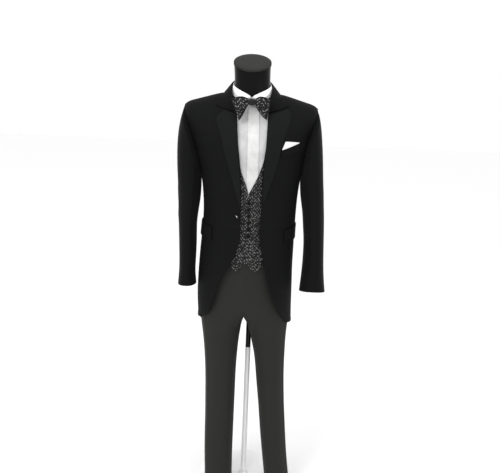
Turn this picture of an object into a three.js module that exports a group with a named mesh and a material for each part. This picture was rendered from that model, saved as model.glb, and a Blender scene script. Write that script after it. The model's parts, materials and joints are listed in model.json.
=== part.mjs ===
import * as THREE from 'three';

// Morning suit on a limbless dress form. Millimetres, +Z up, the front faces -Y and the
// wearer's right is -X. The origin lies on the floor under the middle of the stand's pole.

// Driving dimensions.
const POLE_X = 20;
const POLE_Y = 45;
const POLE_RADIUS = 9.5;
const BASE_RADIUS = 165;
const BASE_HEIGHT = 10;
const FORM_BOTTOM = 786;
const COAT_CLOTH = 2;
const WAISTCOAT_CLOTH = 1.8;
const TROUSER_CLOTH = 1.8;
const SHIRT_CLOTH = 1.2;
const SEAM = 0.3;
const REST = 0.7;
const SHIRT_LIFT = 0.7;
const WAISTCOAT_LIFT = 3.3;
const COAT_LIFT = 6.4;
const ROUND = 0.9;
const WAIST_SEAM_Z = 1060;
const TROUSER_TOP_Z = 1015;
const WAISTBAND_TOP_Z = 1054;
const HEM_Z = 24;
const BUTTON_PITCH = 23;

const DEG = Math.PI / 180;
const RIGHT = -1;
const LEFT = 1;

// Cloth and stand colours.
const finish = (name, hex, roughness) => {
  const material = new THREE.MeshStandardMaterial({ color: hex, roughness, metalness: 0 });
  material.name = name;
  return material;
};
const COAT_WOOL = finish('coat_wool', 0x17181b, 0.85);
const WAISTCOAT_SILK = finish('waistcoat_silk', 0x3a3b3e, 0.6);
const TROUSER_WOOL = finish('trouser_wool', 0x35373a, 0.85);
const SHIRT_COTTON = finish('shirt_cotton', 0xeef0f2, 0.7);
const POCKET_LINEN = finish('pocket_linen', 0xf4f5f6, 0.7);
const BUTTON_BLACK = finish('button_black', 0x1b1b1d, 0.4);
const FORM_GLOSS = finish('form_gloss', 0x0d0d0e, 0.25);
const CAP_GREY = finish('cap_grey', 0x3c3d3f, 0.6);
const STAND_STEEL = finish('stand_steel', 0xc9c9cb, 0.25);
const STAND_PALE = finish('stand_pale', 0xd6d6d6, 0.45);

const table = (names, rows) => rows.map((row) => Object.fromEntries(names.map((n, i) => [n, row[i]])));

// Rings of the body the clothes hang on, numbered downwards. Each has a side, front and back
// height, half width, front and back depth, middle, the flatness of its tilt, and the coat's
// ease at side, front and back.
const BODY = table(
  ['s', 'side', 'front', 'back', 'half', 'fore', 'aft', 'mid', 'flat', 'easeSide', 'easeFore', 'easeAft'],
  [
    [-3, 1588, 1567, 1608, 60.5, 58, 53, -1, 1, 0, 0, 0],
    [-2, 1556, 1532, 1571, 59, 55, 53, 0, 0.6, 0, 0, 0],
    [-1, 1522, 1490, 1533, 59.5, 56, 58, 1, 0.2, 0, 0, 0],
    [0, 1490, 1425, 1494, 66, 58, 69, 1, 0, 0, 0, 0],
    [1, 1484, 1405, 1461, 105, 76, 87, 1, 0, 0, 0, 1],
    [2, 1472, 1386, 1428, 145, 90, 98, 1, 0, 0, 0, 1],
    [3, 1461, 1366, 1398, 184, 100, 104, 0, 0, 0, 0, 1],
    [4, 1448, 1346, 1368, 212, 106, 108, 0, 0, 0, 0, 1],
    [5, 1410, 1322, 1338, 208, 111, 110, 1, 0, 0, 0, 1],
    [6, 1362, 1295, 1303, 193, 113, 110, 3, 0, 0, 0.5, 0.5],
    [7, 1304, 1266, 1268, 176, 113, 109, 5, 0, 0, 1, 1],
    [8, 1240, 1236, 1236, 163, 112, 106, 7, 0, 0.6, 2, 2],
    [9, 1183, 1183, 1183, 153, 110, 99, 7.5, 0, 2, 4, 3],
    [10, 1126, 1126, 1126, 148, 106, 92, 8, 0, 3, 7, 5],
    [11, 1079, 1079, 1079, 147, 104, 90, 7, 0, 4, 9, 4],
    [12, 1032, 1032, 1032, 147, 105, 95, 4.5, 0, 5, 11, 5],
    [13, 977, 977, 977, 148, 106, 104, 3, 0, 6, 13, 6],
    [14, 913, 913, 913, 149, 105, 112, 0, 0, 6, 15, 8],
    [15, 838, 838, 838, 149, 101, 113, -1, 0, 8, 18, 12],
    [16, 788, 788, 788, 147, 96, 109, -1, 0, 10.6, 22, 16],
    [17, 730, 730, 730, 147, 94, 107, 1, 0, 9, 24, 22],
    [18, 670, 670, 670, 147, 93, 106, 2, 0, 10, 24, 26],
    [19, 610, 610, 610, 145, 92, 105, 2, 0, 10, 24, 26],
    [20, 555, 555, 555, 143, 91, 105, 2, 0, 10, 24, 26],
  ],
);

// Front edges, seen from the front, as height and x from the neck to the cutaway.
const EDGE = {
  [RIGHT]: [[1500, -62], [1464, -49], [1418, -43], [1354, -38], [1304, -32], [1268, -27], [1175, -22],
    [1121, -23], [1053, -20], [1021, -21], [986, -30.5], [921, -54], [894, -75], [851, -92], [807, -105],
    [772, -114], [745, -124], [731, -135], [717, -148]],
  [LEFT]: [[1500, 66], [1468, 55], [1422, 54], [1379, 53], [1336, 52], [1307, 48], [1254, 45], [1199, 44],
    [1145, 47], [1114, 45], [1086, 42], [1052, 40], [1013, 44], [975, 54], [874, 74], [820, 88],
    [769, 114], [739, 131], [705, 150]],
};
// Below the cutaway the lower edge runs on round the side to the tail: height and angle.
const TAIL_EDGE = [[705, 62], [698, 75], [692, 88], [680, 97], [664, 106], [645, 116], [622, 127], [600, 137],
  [583, 144], [567, 149]];
const TAIL_TOP_Z = 705;
// How far the wearer's right tail is hitched up, fading in between two heights of its side edge.
const TAIL_RISE = { [RIGHT]: 12, [LEFT]: 0 };
const TAIL_RISE_FROM = 622;
const TAIL_RISE_FULL = 682;
const TAIL_RISE_TO = 740;
// Front and back lines of the armhole on the rings, as ring and angle.
const ARMHOLE_FORE = [[4, 90], [4.4, 78], [5, 70], [6.3, 69], [7, 73], [8, 80]];
const ARMHOLE_AFT = [[4, 90], [4.4, 101], [5, 109], [6.3, 112], [7, 112], [8, 111]];
const SIDE_SEAM = [[8, 80], [11.4, 78], [20, 78]];
const BACK_SEAM = [[8, 111], [9, 126], [10, 142], [11, 153], [11.4, 155], [14, 152], [20, 150]];
const VENT = [[0, 180], [13, 180], [13.4, 178], [16, 175], [20, 172]];

function lerpTable(points, at) {
  const rising = points[0][0] < points[points.length - 1][0];
  const rows = rising ? points : [...points].reverse();
  if (at <= rows[0][0]) return rows[0][1];
  for (let i = 1; i < rows.length; i += 1) {
    if (at <= rows[i][0]) {
      const f = (at - rows[i - 1][0]) / (rows[i][0] - rows[i - 1][0]);
      return rows[i - 1][1] + f * (rows[i][1] - rows[i - 1][1]);
    }
  }
  return rows[rows.length - 1][1];
}

const KEYS = Object.keys(BODY[0]);
const ringCache = new Map();

// A ring between the named ones, by a smooth curve through them.
function ringAt(s) {
  const key = Math.round(s * 1e5);
  if (ringCache.has(key)) return ringCache.get(key);
  const first = BODY[0].s;
  const place = Math.min(Math.max(s - first, 0), BODY.length - 1 - 1e-9);
  const i = Math.floor(place);
  const f = place - i;
  const p0 = BODY[Math.max(i - 1, 0)];
  const p1 = BODY[i];
  const p2 = BODY[i + 1];
  const p3 = BODY[Math.min(i + 2, BODY.length - 1)];
  const ring = {};
  for (const name of KEYS) {
    const m1 = (p2[name] - p0[name]) / 2;
    const m2 = (p3[name] - p1[name]) / 2;
    const d = p2[name] - p1[name];
    ring[name] = p1[name] + f * (m1 + f * ((3 * d - 2 * m1 - m2) + f * (m1 + m2 - 2 * d)));
  }
  ringCache.set(key, ring);
  return ring;
}

const bent = (value, power) => Math.sign(value) * Math.abs(value) ** power;

function skin(s, angle) {
  const r = ringAt(s);
  const sn = Math.sin(angle * DEG);
  const cs = Math.cos(angle * DEG);
  const end = cs > 0 ? r.front : r.back;
  const depth = cs > 0 ? r.fore : r.aft;
  const tilt = r.flat * (1 - Math.abs(cs)) + (1 - r.flat) * sn * sn;
  return [
    r.mid + r.half * bent(sn, ROUND),
    -depth * bent(cs, ROUND),
    end + (r.side - end) * tilt,
  ];
}

const add = (a, b, k = 1) => [a[0] + k * b[0], a[1] + k * b[1], a[2] + k * b[2]];
const sub = (a, b) => [a[0] - b[0], a[1] - b[1], a[2] - b[2]];
const cross = (a, b) => [
  a[1] * b[2] - a[2] * b[1],
  a[2] * b[0] - a[0] * b[2],
  a[0] * b[1] - a[1] * b[0],
];
const length = (a) => Math.hypot(a[0], a[1], a[2]);
const unit = (a) => {
  const size = length(a) || 1;
  return [a[0] / size, a[1] / size, a[2] / size];
};
const mix = (a, b, f) => a + (b - a) * f;
const blend = (a, b, f) => [mix(a[0], b[0], f), mix(a[1], b[1], f), mix(a[2], b[2], f)];

// The body's surface moved out along its normal by an offset.
function on(s, angle, offset) {
  const here = skin(s, angle);
  const down = sub(skin(s + 0.02, angle), skin(s - 0.02, angle));
  const round = sub(skin(s, angle + 0.5), skin(s, angle - 0.5));
  return add(here, unit(cross(down, round)), offset);
}

function coatOffset(s, angle) {
  const r = ringAt(s);
  const sn = Math.sin(angle * DEG) ** 2;
  const end = Math.cos(angle * DEG) > 0 ? r.easeFore : r.easeAft;
  return COAT_LIFT + r.easeSide * sn + end * (1 - sn);
}
const coatOuter = (s, angle) => coatOffset(s, angle) + COAT_CLOTH;

// Value of a rising function's argument at which it passes zero.
function solve(low, high, value) {
  let a = low;
  let b = high;
  for (let k = 0; k < 40; k += 1) {
    const middle = (a + b) / 2;
    if (value(middle) < 0) a = middle;
    else b = middle;
  }
  return (a + b) / 2;
}

// Ring on which the surface at an angle has a height.
const ringAtHeight = (angle, z) => solve(-3, 20, (s) => z - skin(s, angle)[2]);
const levelRing = (z) => ringAtHeight(90, z);

// Angle on a ring at which a front edge is met.
function edgeAngle(s, edge, offset) {
  return solve(-89, 89, (angle) => {
    const p = on(s, angle, offset(s, angle));
    return p[0] - lerpTable(edge, p[2]);
  });
}

// Ring and angle of the coat's outer face at a place seen from the front.
function coatPlace(x, z) {
  const ringFor = (angle) => solve(-1, 20, (s) => z - on(s, angle, coatOuter(s, angle))[2]);
  const angle = solve(-88, 88, (a) => on(ringFor(a), a, coatOuter(ringFor(a), a))[0] - x);
  return [ringFor(angle), angle];
}
function onCoat(x, z, lift) {
  const [s, angle] = coatPlace(x, z);
  return on(s, angle, coatOuter(s, angle) + lift);
}

// Closed skin from two matching grids of points, an outer and an inner one.
function closeGrids(outer, inner, ring = false) {
  const rows = outer.length;
  const cols = outer[0].length;
  const points = [...outer.flat(), ...inner.flat()];
  const back = rows * cols;
  const faces = [];
  const quad = (a, b, c, d) => faces.push(a, b, c, a, c, d);
  const spans = ring ? cols : cols - 1;
  for (let i = 0; i < rows - 1; i += 1) {
    for (let j = 0; j < spans; j += 1) {
      const k = (j + 1) % cols;
      const a = i * cols + j;
      const b = i * cols + k;
      const c = (i + 1) * cols + k;
      const d = (i + 1) * cols + j;
      quad(a, d, c, b);
      quad(back + a, back + b, back + c, back + d);
    }
  }
  for (let j = 0; j < spans; j += 1) {
    const k = (j + 1) % cols;
    const last = (rows - 1) * cols;
    quad(j, k, back + k, back + j);
    quad(last + k, last + j, back + last + j, back + last + k);
  }
  if (!ring) {
    for (let i = 0; i < rows - 1; i += 1) {
      const a = i * cols;
      const b = (i + 1) * cols;
      quad(b, a, back + a, back + b);
      const e = a + cols - 1;
      const f = b + cols - 1;
      quad(e, f, back + f, back + e);
    }
  }
  return geometryOf(points, faces);
}

// Geometry with its faces turned outwards.
function geometryOf(points, faces) {
  let volume = 0;
  for (let i = 0; i < faces.length; i += 3) {
    const [a, b, c] = [points[faces[i]], points[faces[i + 1]], points[faces[i + 2]]];
    const n = cross(b, c);
    volume += a[0] * n[0] + a[1] * n[1] + a[2] * n[2];
  }
  const swapped = () => faces.flatMap((_, i) => (i % 3 ? [] : [faces[i], faces[i + 2], faces[i + 1]]));
  const index = volume > 0 ? faces : swapped();
  const geometry = new THREE.BufferGeometry();
  geometry.setAttribute('position', new THREE.Float32BufferAttribute(points.flat(), 3));
  geometry.setIndex(index);
  geometry.computeVertexNormals();
  return geometry;
}

const group = new THREE.Group();
group.name = 'morning_suit';
const clothes = new THREE.Group();
clothes.name = 'clothes';
clothes.position.set(-POLE_X, -POLE_Y, 0);
group.add(clothes);

function place(name, geometry, material, parent = clothes) {
  const mesh = new THREE.Mesh(geometry, material);
  mesh.name = name;
  parent.add(mesh);
  return mesh;
}

// Half a seam taken off the four edges of a grid of points.
function trim(grid, sides = [1, 1, 1, 1]) {
  const pull = (a, b, share) => add(a, unit(sub(b, a)), (share * SEAM) / 2);
  const rows = grid.map((row) => [...row]);
  const last = rows.length - 1;
  const end = rows[0].length - 1;
  for (const row of rows) {
    const first = pull(row[0], row[1], sides[0]);
    row[end] = pull(row[end], row[end - 1], sides[1]);
    row[0] = first;
  }
  for (let j = 0; j <= end; j += 1) {
    const top = pull(rows[0][j], rows[1][j], sides[2]);
    rows[last][j] = pull(rows[last][j], rows[last - 1][j], sides[3]);
    rows[0][j] = top;
  }
  return rows;
}

const spread = (count) => Array.from({ length: count }, (_, i) => i / (count - 1));

// Panel of cloth on the body: rows are rings, or rings by angle; the limits give the first and
// last angle of a row.
function bodyPanel({ rows, cols, limits, inner, cloth, sides }) {
  const parts = Array.isArray(cols) ? cols : spread(cols);
  const build = (extra) => rows.map((row, i) => {
    const mean = typeof row === 'number' ? row : row.ring;
    const [from, to] = limits(mean, i);
    return parts.map((f, k) => {
      const angle = mix(from, to, f);
      const s = typeof row === 'number' ? row : row.at(angle);
      return on(s, angle, inner(s, angle, k) + extra);
    });
  });
  return closeGrids(trim(build(cloth), sides), trim(build(0), sides));
}

// Points a wall's thickness behind a grid of outer points.
function innerFace(grid, cloth, { ring = false, levelFirst = false, flip = 1 } = {}) {
  const last = grid.length - 1;
  const cols = grid[0].length;
  return grid.map((row, i) => row.map((p, j) => {
    const before = ring ? row[(j + cols - 1) % cols] : row[Math.max(j - 1, 0)];
    const after = ring ? row[(j + 1) % cols] : row[Math.min(j + 1, cols - 1)];
    const along = sub(grid[Math.min(i + 1, last)][j], grid[Math.max(i - 1, 0)][j]);
    let normal = unit(cross(along, sub(after, before)));
    if (levelFirst && i === 0) normal = unit([0, normal[1], normal[2]]);
    return add(p, normal, -flip * cloth);
  }));
}
const thicken = (outer, cloth, options) => closeGrids(outer, innerFace(outer, cloth, options));

// Solid of revolution-like rings closed at both ends.
function stack(rings) {
  const cols = rings[0].length;
  const points = rings.flat();
  const faces = [];
  for (let i = 0; i < rings.length - 1; i += 1) {
    for (let j = 0; j < cols; j += 1) {
      const k = (j + 1) % cols;
      const a = i * cols;
      const b = (i + 1) * cols;
      faces.push(a + j, b + j, b + k, a + j, b + k, a + k);
    }
  }
  const middle = (ring) => ring.reduce((sum, p) => add(sum, p, 1 / cols), [0, 0, 0]);
  points.push(middle(rings[0]), middle(rings[rings.length - 1]));
  const top = points.length - 2;
  const last = (rings.length - 1) * cols;
  for (let j = 0; j < cols; j += 1) {
    const k = (j + 1) % cols;
    faces.push(top, j, k);
    faces.push(top + 1, last + k, last + j);
  }
  return geometryOf(points, faces);
}

// Rings shared by everything that lies on the shoulders and chest.
const YOKE_ROWS = [0.5, 1, 1.6, 2.3, 3, 3.6, 4, 4.4, 5, 5.6, 6.3, 7, 7.5, 8];

// Dress form: torso with its neck, cap, pole and base.
const turn = (count) => Array.from({ length: count }, (_, j) => (360 * j) / count);
const FORM_ROWS = [-3, -2, -1.4, -0.8, -0.4, 0, ...YOKE_ROWS, 8.5, 9, 10, 11, 12, 13, 14, 15, 15.8];
const ARM_CAP_INSET = [[3, 0], [4, 3.5], [6, 3.5], [8, 0]];
const formRings = FORM_ROWS.map((s) => turn(32).map((angle) => {
  const inset = lerpTable(ARM_CAP_INSET, s) * Math.sin(angle * DEG) ** 4;
  return on(s, angle, -inset);
}));
const seat = turn(32).map((angle) => {
  const p = skin(15.8, angle);
  return [p[0] * 0.93, p[1] * 0.93, FORM_BOTTOM];
});
place('form_torso', stack([...formRings, seat]), FORM_GLOSS);

const CAP = { half: 62, deep: 60, middleY: -3, thick: 9, slope: 0.36, centreZ: 1588.4 };
const capRing = (grow, lift) => turn(32).map((angle) => {
  const x = (CAP.half + grow) * Math.sin(angle * DEG) - 1;
  const y = -(CAP.deep + grow) * Math.cos(angle * DEG) + CAP.middleY;
  return [x, y, CAP.centreZ + CAP.slope * (y - CAP.middleY) + lift];
});
place('form_neck_cap', stack([
  capRing(-4, CAP.thick),
  capRing(0, CAP.thick - 2),
  capRing(0, 1.5),
  capRing(-2, 0),
]), CAP_GREY);

const disc = (radius, z) => turn(24).map((angle) => {
  const a = angle * DEG;
  return [radius * Math.sin(a), -radius * Math.cos(a), z];
});
place('stand_base', stack([
  disc(POLE_RADIUS + 6, BASE_HEIGHT + 12),
  disc(POLE_RADIUS + 8, BASE_HEIGHT + 1),
  disc(BASE_RADIUS - 12, BASE_HEIGHT),
  disc(BASE_RADIUS - 2, BASE_HEIGHT - 3),
  disc(BASE_RADIUS, BASE_HEIGHT - 5),
  disc(BASE_RADIUS, 0),
]), STAND_PALE, group);
const rod = (radius, z) => disc(radius, z).filter((_, i) => i % 2 === 0);
place('stand_pole', stack([rod(POLE_RADIUS, FORM_BOTTOM - SEAM), rod(POLE_RADIUS, BASE_HEIGHT + 12 + SEAM)]),
  STAND_STEEL, group);

// Coat.
const bothSides = (make) => {
  make(RIGHT, 'r');
  make(LEFT, 'l');
};
const waistRing = levelRing(WAIST_SEAM_Z);
const LOOP_ROWS = YOKE_ROWS.filter((s) => s >= 4);

bothSides((side, tag) => {
  const front = (s) => side * edgeAngle(s, EDGE[side], coatOuter);
  place(`coat_forepart_${tag}`, bodyPanel({
    rows: [...YOKE_ROWS, 8.5, 9, 10, 11, waistRing],
    cols: 8,
    limits: (s) => [side * front(s), side * (s <= 4 ? 90 : lerpTable(s < 8 ? ARMHOLE_FORE : SIDE_SEAM, s))],
    inner: coatOffset,
    cloth: COAT_CLOTH,
  }), COAT_WOOL);
  place(`coat_side_${tag}`, bodyPanel({
    rows: [8, 8.5, 9, 10, 11, waistRing],
    cols: 5,
    limits: (s) => [side * lerpTable(SIDE_SEAM, s), side * lerpTable(BACK_SEAM, s)],
    inner: coatOffset,
    cloth: COAT_CLOTH,
  }), COAT_WOOL);
  place(`coat_back_${tag}`, bodyPanel({
    rows: [...YOKE_ROWS, 8.5, 9, 10, 11, waistRing, 12, 13, 13.4, 14, 15, 16, 17, 18, 19, 19.8],
    cols: 7,
    limits: (s) => {
      const seam = s <= 4 ? 90 : lerpTable(s < 8 ? ARMHOLE_AFT : BACK_SEAM, s);
      return [side * seam, side * lerpTable(VENT, s)];
    },
    inner: coatOffset,
    cloth: COAT_CLOTH,
  }), COAT_WOOL);
  const risen = (z) => {
    const share = Math.min(1, Math.max(0, (z - TAIL_RISE_FROM) / (TAIL_RISE_FULL - TAIL_RISE_FROM)));
    return z > TAIL_RISE_TO ? z : z + TAIL_RISE[side] * share;
  };
  const tailEdge = TAIL_EDGE.map(([z, angle]) => [risen(z), angle]);
  const tail = (s) => {
    const z = ringAt(s).side;
    return z > TAIL_TOP_Z + TAIL_RISE[side] + 0.01 ? front(s) * side : side * lerpTable(tailEdge, z);
  };
  const SKIRT_Z = [1045, 1021, 985, 940, 900, 860, 820, 785, 755, 728, 705, 698, 692, 680, 664, 645, 622,
    600, 583, 569];
  place(`coat_skirt_${tag}`, bodyPanel({
    rows: [waistRing, ...SKIRT_Z.map((z) => levelRing(risen(z)))],
    cols: 10,
    limits: (s) => [tail(s), side * (lerpTable(BACK_SEAM, s) - 0.15)],
    inner: coatOffset,
    cloth: COAT_CLOTH,
  }), COAT_WOOL);
});

// Sleeves: rings below the armhole, by their outer and inner point and front and back y.
const SLEEVE = {
  [RIGHT]: table(['xOut', 'zOut', 'xIn', 'zIn', 'fore', 'aft'], [
    [-229, 1430, -166, 1224, -90, 86],
    [-238, 1396, -163, 1204, -92, 84],
    [-245, 1335, -160.5, 1178, -94, 78],
    [-242, 1235, -162, 1142, -94, 64],
    [-238, 1175, -164.5, 1120, -93, 58],
    [-237, 1115, -169, 1088, -93, 55],
    [-235, 1053, -174, 1046, -95, 50],
    [-232, 989, -172.5, 989, -98, 44],
    [-230, 925, -174, 925, -98, 36],
    [-231, 876, -177, 876, -98, 30],
    [-235, 835, -172, 835, -97, 27],
  ]),
  [LEFT]: table(['xOut', 'zOut', 'xIn', 'zIn', 'fore', 'aft'], [
    [229, 1430, 180.5, 1222, -90, 86],
    [236, 1398, 178, 1204, -92, 84],
    [243, 1340, 176, 1180, -94, 78],
    [252, 1235, 181, 1142, -94, 64],
    [257, 1175, 185.5, 1120, -93, 58],
    [261, 1115, 190.5, 1085, -93, 55],
    [265, 1053, 194, 1040, -95, 50],
    [267, 1000, 198.5, 1000, -98, 44],
    [271, 925, 199, 925, -98, 36],
    [276, 870, 196, 870, -98, 30],
    [283, 821, 192, 821, -97, 27],
  ]),
};
const LOOP_FLOOR = 155;
const loopTurn = (s) => Math.acos(1 - ((s - 4) / 4) * (1 - Math.cos(LOOP_FLOOR * DEG))) / DEG;

// Places round the armhole as ring, body angle and turn round the sleeve from its top forward.
const armholeLoop = [
  ...LOOP_ROWS.map((s) => ({ s, angle: lerpTable(ARMHOLE_FORE, s), turn: loopTurn(s) })),
  ...[1, 2, 3].map((k) => ({
    s: 8,
    angle: mix(80, 111, k / 4),
    turn: mix(LOOP_FLOOR, 360 - LOOP_FLOOR, k / 4),
  })),
  ...[...LOOP_ROWS].reverse().map((s) => ({ s, angle: lerpTable(ARMHOLE_AFT, s), turn: 360 - loopTurn(s) })),
].slice(0, -1);

const ovalAt = (row, turnAngle) => {
  const cs = Math.cos(turnAngle * DEG);
  const sn = Math.sin(turnAngle * DEG);
  const half = (row.zOut + row.zIn) / 2;
  const middle = (row.fore + row.aft) / 2;
  const reach = (row.aft - row.fore) / 2;
  return [
    (row.xOut + row.xIn) / 2 + ((row.xOut - row.xIn) / 2) * bent(cs, ROUND),
    middle - reach * bent(sn, ROUND),
    half + ((row.zOut - row.zIn) / 2) * cs,
  ];
};
const HEM_TILT = { [RIGHT]: 9, [LEFT]: 17 };
const CAP_FADE = [1, 0.62, 0.3, 0.1, 0, 0, 0, 0, 0, 0, 0, 0, 0];

function sleeveRings(side) {
  const loop = armholeLoop.map(({ s, angle }) => add(
    on(s, side * angle, coatOuter(s, angle)),
    [side * SEAM, 0, 0],
  ));
  const reach = (axis) => loop.map((p) => p[axis]);
  const top = loop[0];
  const floor = loop[LOOP_ROWS.length];
  const start = {
    xOut: top[0],
    zOut: top[2],
    xIn: floor[0],
    zIn: floor[2],
    fore: Math.min(...reach(1)),
    aft: Math.max(...reach(1)),
  };
  const last = SLEEVE[side].length;
  return [start, ...SLEEVE[side]].map((row, i) => armholeLoop.map(({ turn: turned }, c) => {
    const away = sub(loop[c], ovalAt(start, turned));
    const slant = HEM_TILT[side] * Math.sin(turned * DEG) * Math.max(0, (i - last + 2) / 2);
    return add(add(ovalAt(row, turned), away, CAP_FADE[i]), [0, 0, 1], slant);
  }));
}
const FORE_SEAM = 5;
const AFT_SEAM = -5;
bothSides((side, tag) => {
  const outer = sleeveRings(side);
  const inner = innerFace(outer, COAT_CLOTH, { ring: true, levelFirst: true, flip: -side });
  const around = armholeLoop.length;
  const slice = (grid, from, to) => trim(grid.map((row) => Array.from(
    { length: to - from + 1 },
    (_, i) => row[(from + i + around) % around],
  )), [3.8, 3.8, 1, 1]);
  for (const [name, from, to] of [
    ['coat_topsleeve', AFT_SEAM, FORE_SEAM],
    ['coat_undersleeve', FORE_SEAM, around + AFT_SEAM],
  ]) {
    place(`${name}_${tag}`, closeGrids(slice(outer, from, to), slice(inner, from, to)), COAT_WOOL);
  }
});

// Lapels: rows from the notch to the roll's end as outer-edge height, roll-line x, outer-edge x and
// how far the row drops towards the roll line.
const LAPEL = {
  [RIGHT]: [[1446, -49, -84, 13], [1436, -47, -102, 12], [1423, -45, -111, 8], [1405, -43, -110],
    [1373, -40, -94], [1333, -37, -85], [1300, -33, -75], [1262, -28.5, -63], [1225, -26, -52],
    [1180, -23.5, -38], [1140, -23.5, -27]],
  [LEFT]: [[1453, 55, 117, 19], [1441, 55, 130, 16], [1412, 55, 126, 5], [1380, 54.5, 113], [1346, 53.5, 103],
    [1305, 49.5, 95.5], [1268, 47, 88], [1240, 46, 79], [1210, 46, 69], [1182, 46.5, 61], [1156, 48, 54]],
};
const LAPEL_SPREAD = [0, 0.14, 0.4, 0.7, 1];
const LAPEL_ROLL = [3, 4, 2.8, 1.4, REST];
function lapelGrid(side) {
  return LAPEL[side].map(([z, roll, edge, drop = 0], i) => LAPEL_SPREAD.map((f, j) => {
    const fade = Math.min(1, (LAPEL[side].length - 1 - i) / 3);
    const lift = REST + (LAPEL_ROLL[j] - REST) * fade;
    return onCoat(mix(roll + side * 0.6, edge, f), z - drop * (1 - f), COAT_CLOTH + lift);
  }));
}
bothSides((side, tag) => {
  const grid = lapelGrid(side);
  place(`coat_lapel_${tag}`, thicken(grid, COAT_CLOTH - 0.2, { flip: side }), COAT_WOOL);
});

// Collar fall: from its fold round the neck to its outer edge on the coat.
const COLLAR_END = { [RIGHT]: [-113, 1457], [LEFT]: [121, 1460] };
const COLLAR_FOLD = [[-51, -72, 1440], [-57.5, -56, 1480], [-64, -34, 1503], [-67, -6, 1517],
  [-67.5, 22, 1525], [-60, 48, 1530], [-35, 68, 1533], [0, 75, 1534]];
const COLLAR_EDGE = [[0, 0], [0, 0], [0.84, 72], [0.66, 90], [0.66, 108], [0.74, 130], [0.78, 155],
  [0.78, 180]];
const COLLAR_SPREAD = [0, 0.22, 0.48, 0.76, 1];
const COLLAR_RISE = [0, 1, 1.6, 0.8, 0];
function collarRow(side, k) {
  const fold = COLLAR_FOLD[k];
  const [endS, endAngle] = coatPlace(...COLLAR_END[side]);
  const corner = [endS, Math.abs(endAngle)];
  const ends = [corner, [0, 1].map((i) => mix(corner[i], COLLAR_EDGE[2][i], 0.45))];
  const [s, angle] = k < 2 ? ends[k] : COLLAR_EDGE[k];
  const edge = on(s, side * angle, coatOuter(s, angle) + COAT_CLOTH + REST + 1.4);
  const from = [-side * fold[0], fold[1], fold[2]];
  const lift = Math.min(1, k / 2);
  return COLLAR_SPREAD.map((f, j) => {
    const p = blend(from, edge, f);
    const flat = k === 0 ? onCoat(p[0], p[2], COAT_CLOTH + REST + 0.3) : p;
    const out = unit([p[0], p[1], 60]);
    return add(flat, out, COLLAR_RISE[j] * lift);
  });
}
const lastFold = COLLAR_FOLD.length - 1;
const collarRows = [
  ...COLLAR_FOLD.map((_, k) => collarRow(RIGHT, k)),
  ...COLLAR_FOLD.slice(0, -1).map((_, k) => collarRow(LEFT, lastFold - 1 - k)),
];
place('coat_collar', thicken(collarRows, COAT_CLOTH - 0.2, { flip: 1 }), COAT_WOOL);

// Hip pocket flaps, lying on the skirt from the front of the hip to the side.
const FLAP_FRONT = { [RIGHT]: -116, [LEFT]: 125 };
bothSides((side, tag) => {
  const angleAt = (s) => solve(0, 88, (a) => side * (on(s, side * a, coatOuter(s, a))[0] - FLAP_FRONT[side]));
  place(`coat_flap_${tag}`, bodyPanel({
    rows: [1056, 1045, 1033, 1021, 1011].map(levelRing),
    cols: 6,
    limits: (s) => [side * angleAt(s), side * 100],
    inner: (s, angle) => coatOuter(s, angle) + REST + 0.8,
    cloth: COAT_CLOTH,
  }), COAT_WOOL);
});

// Breast welt and the folded white square above it.
const between = (line, f) => {
  const place1 = f * (line.length - 1);
  const i = Math.min(Math.floor(place1), line.length - 2);
  const g = place1 - i;
  return [mix(line[i][0], line[i + 1][0], g), mix(line[i][1], line[i + 1][1], g)];
};
const patch = (top, low, rows, cols, lift) => spread(rows).map((v) => spread(cols).map((u) => {
  const a = between(top, u);
  const b = between(low, u);
  return onCoat(mix(a[0], b[0], v), mix(a[1], b[1], v), lift);
}));
const WELT_TOP = [[103, 1330], [121, 1336], [140, 1344], [158, 1351]];
const WELT_LOW = [[106, 1309], [124, 1315], [142, 1322], [159, 1329]];
const weltGrid = patch(WELT_TOP, WELT_LOW, 3, 4, COAT_CLOTH - 0.3);
place('coat_breast_welt', thicken(weltGrid, COAT_CLOTH - 0.2, { flip: -1 }), COAT_WOOL);
const SQUARE_TOP = [[104.5, 1333.5], [114, 1358], [135, 1357], [158.5, 1354]];
const SQUARE_LOW = [[103.5, 1331], [121, 1336.8], [140, 1344.6], [158, 1351.6]];
place('pocket_square', thicken(patch(SQUARE_TOP, SQUARE_LOW, 3, 4, 1.3), 1.4, { flip: -1 }), POCKET_LINEN);

// Round button seated on a surface: dished face, rounded rim.
function button(at, normal, radius, thick) {
  const out = unit(normal);
  const sideways = unit(cross([0, 0, 1], out));
  const upward = cross(out, sideways);
  const ring = (r, lift) => Array.from({ length: 10 }, (_, j) => {
    const a = (Math.PI * j) / 5;
    return add(add(add(at, sideways, r * Math.cos(a)), upward, r * Math.sin(a)), out, lift);
  });
  return stack([
    ring(radius * 0.5, thick * 0.62),
    ring(radius * 0.7, thick),
    ring(radius, thick * 0.6),
    ring(radius * 0.9, 0),
  ]);
}
const normalAt = (s, angle, offset) => sub(on(s, angle, offset + 1), on(s, angle, offset));
function buttonOnCoat(name, x, z, radius) {
  const [s, angle] = coatPlace(x, z);
  const lift = coatOuter(s, angle);
  place(name, button(on(s, angle, lift + REST), normalAt(s, angle, lift), radius, 3.4), BUTTON_BLACK);
}
buttonOnCoat('coat_button', -34, 1105, 9.5);

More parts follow.
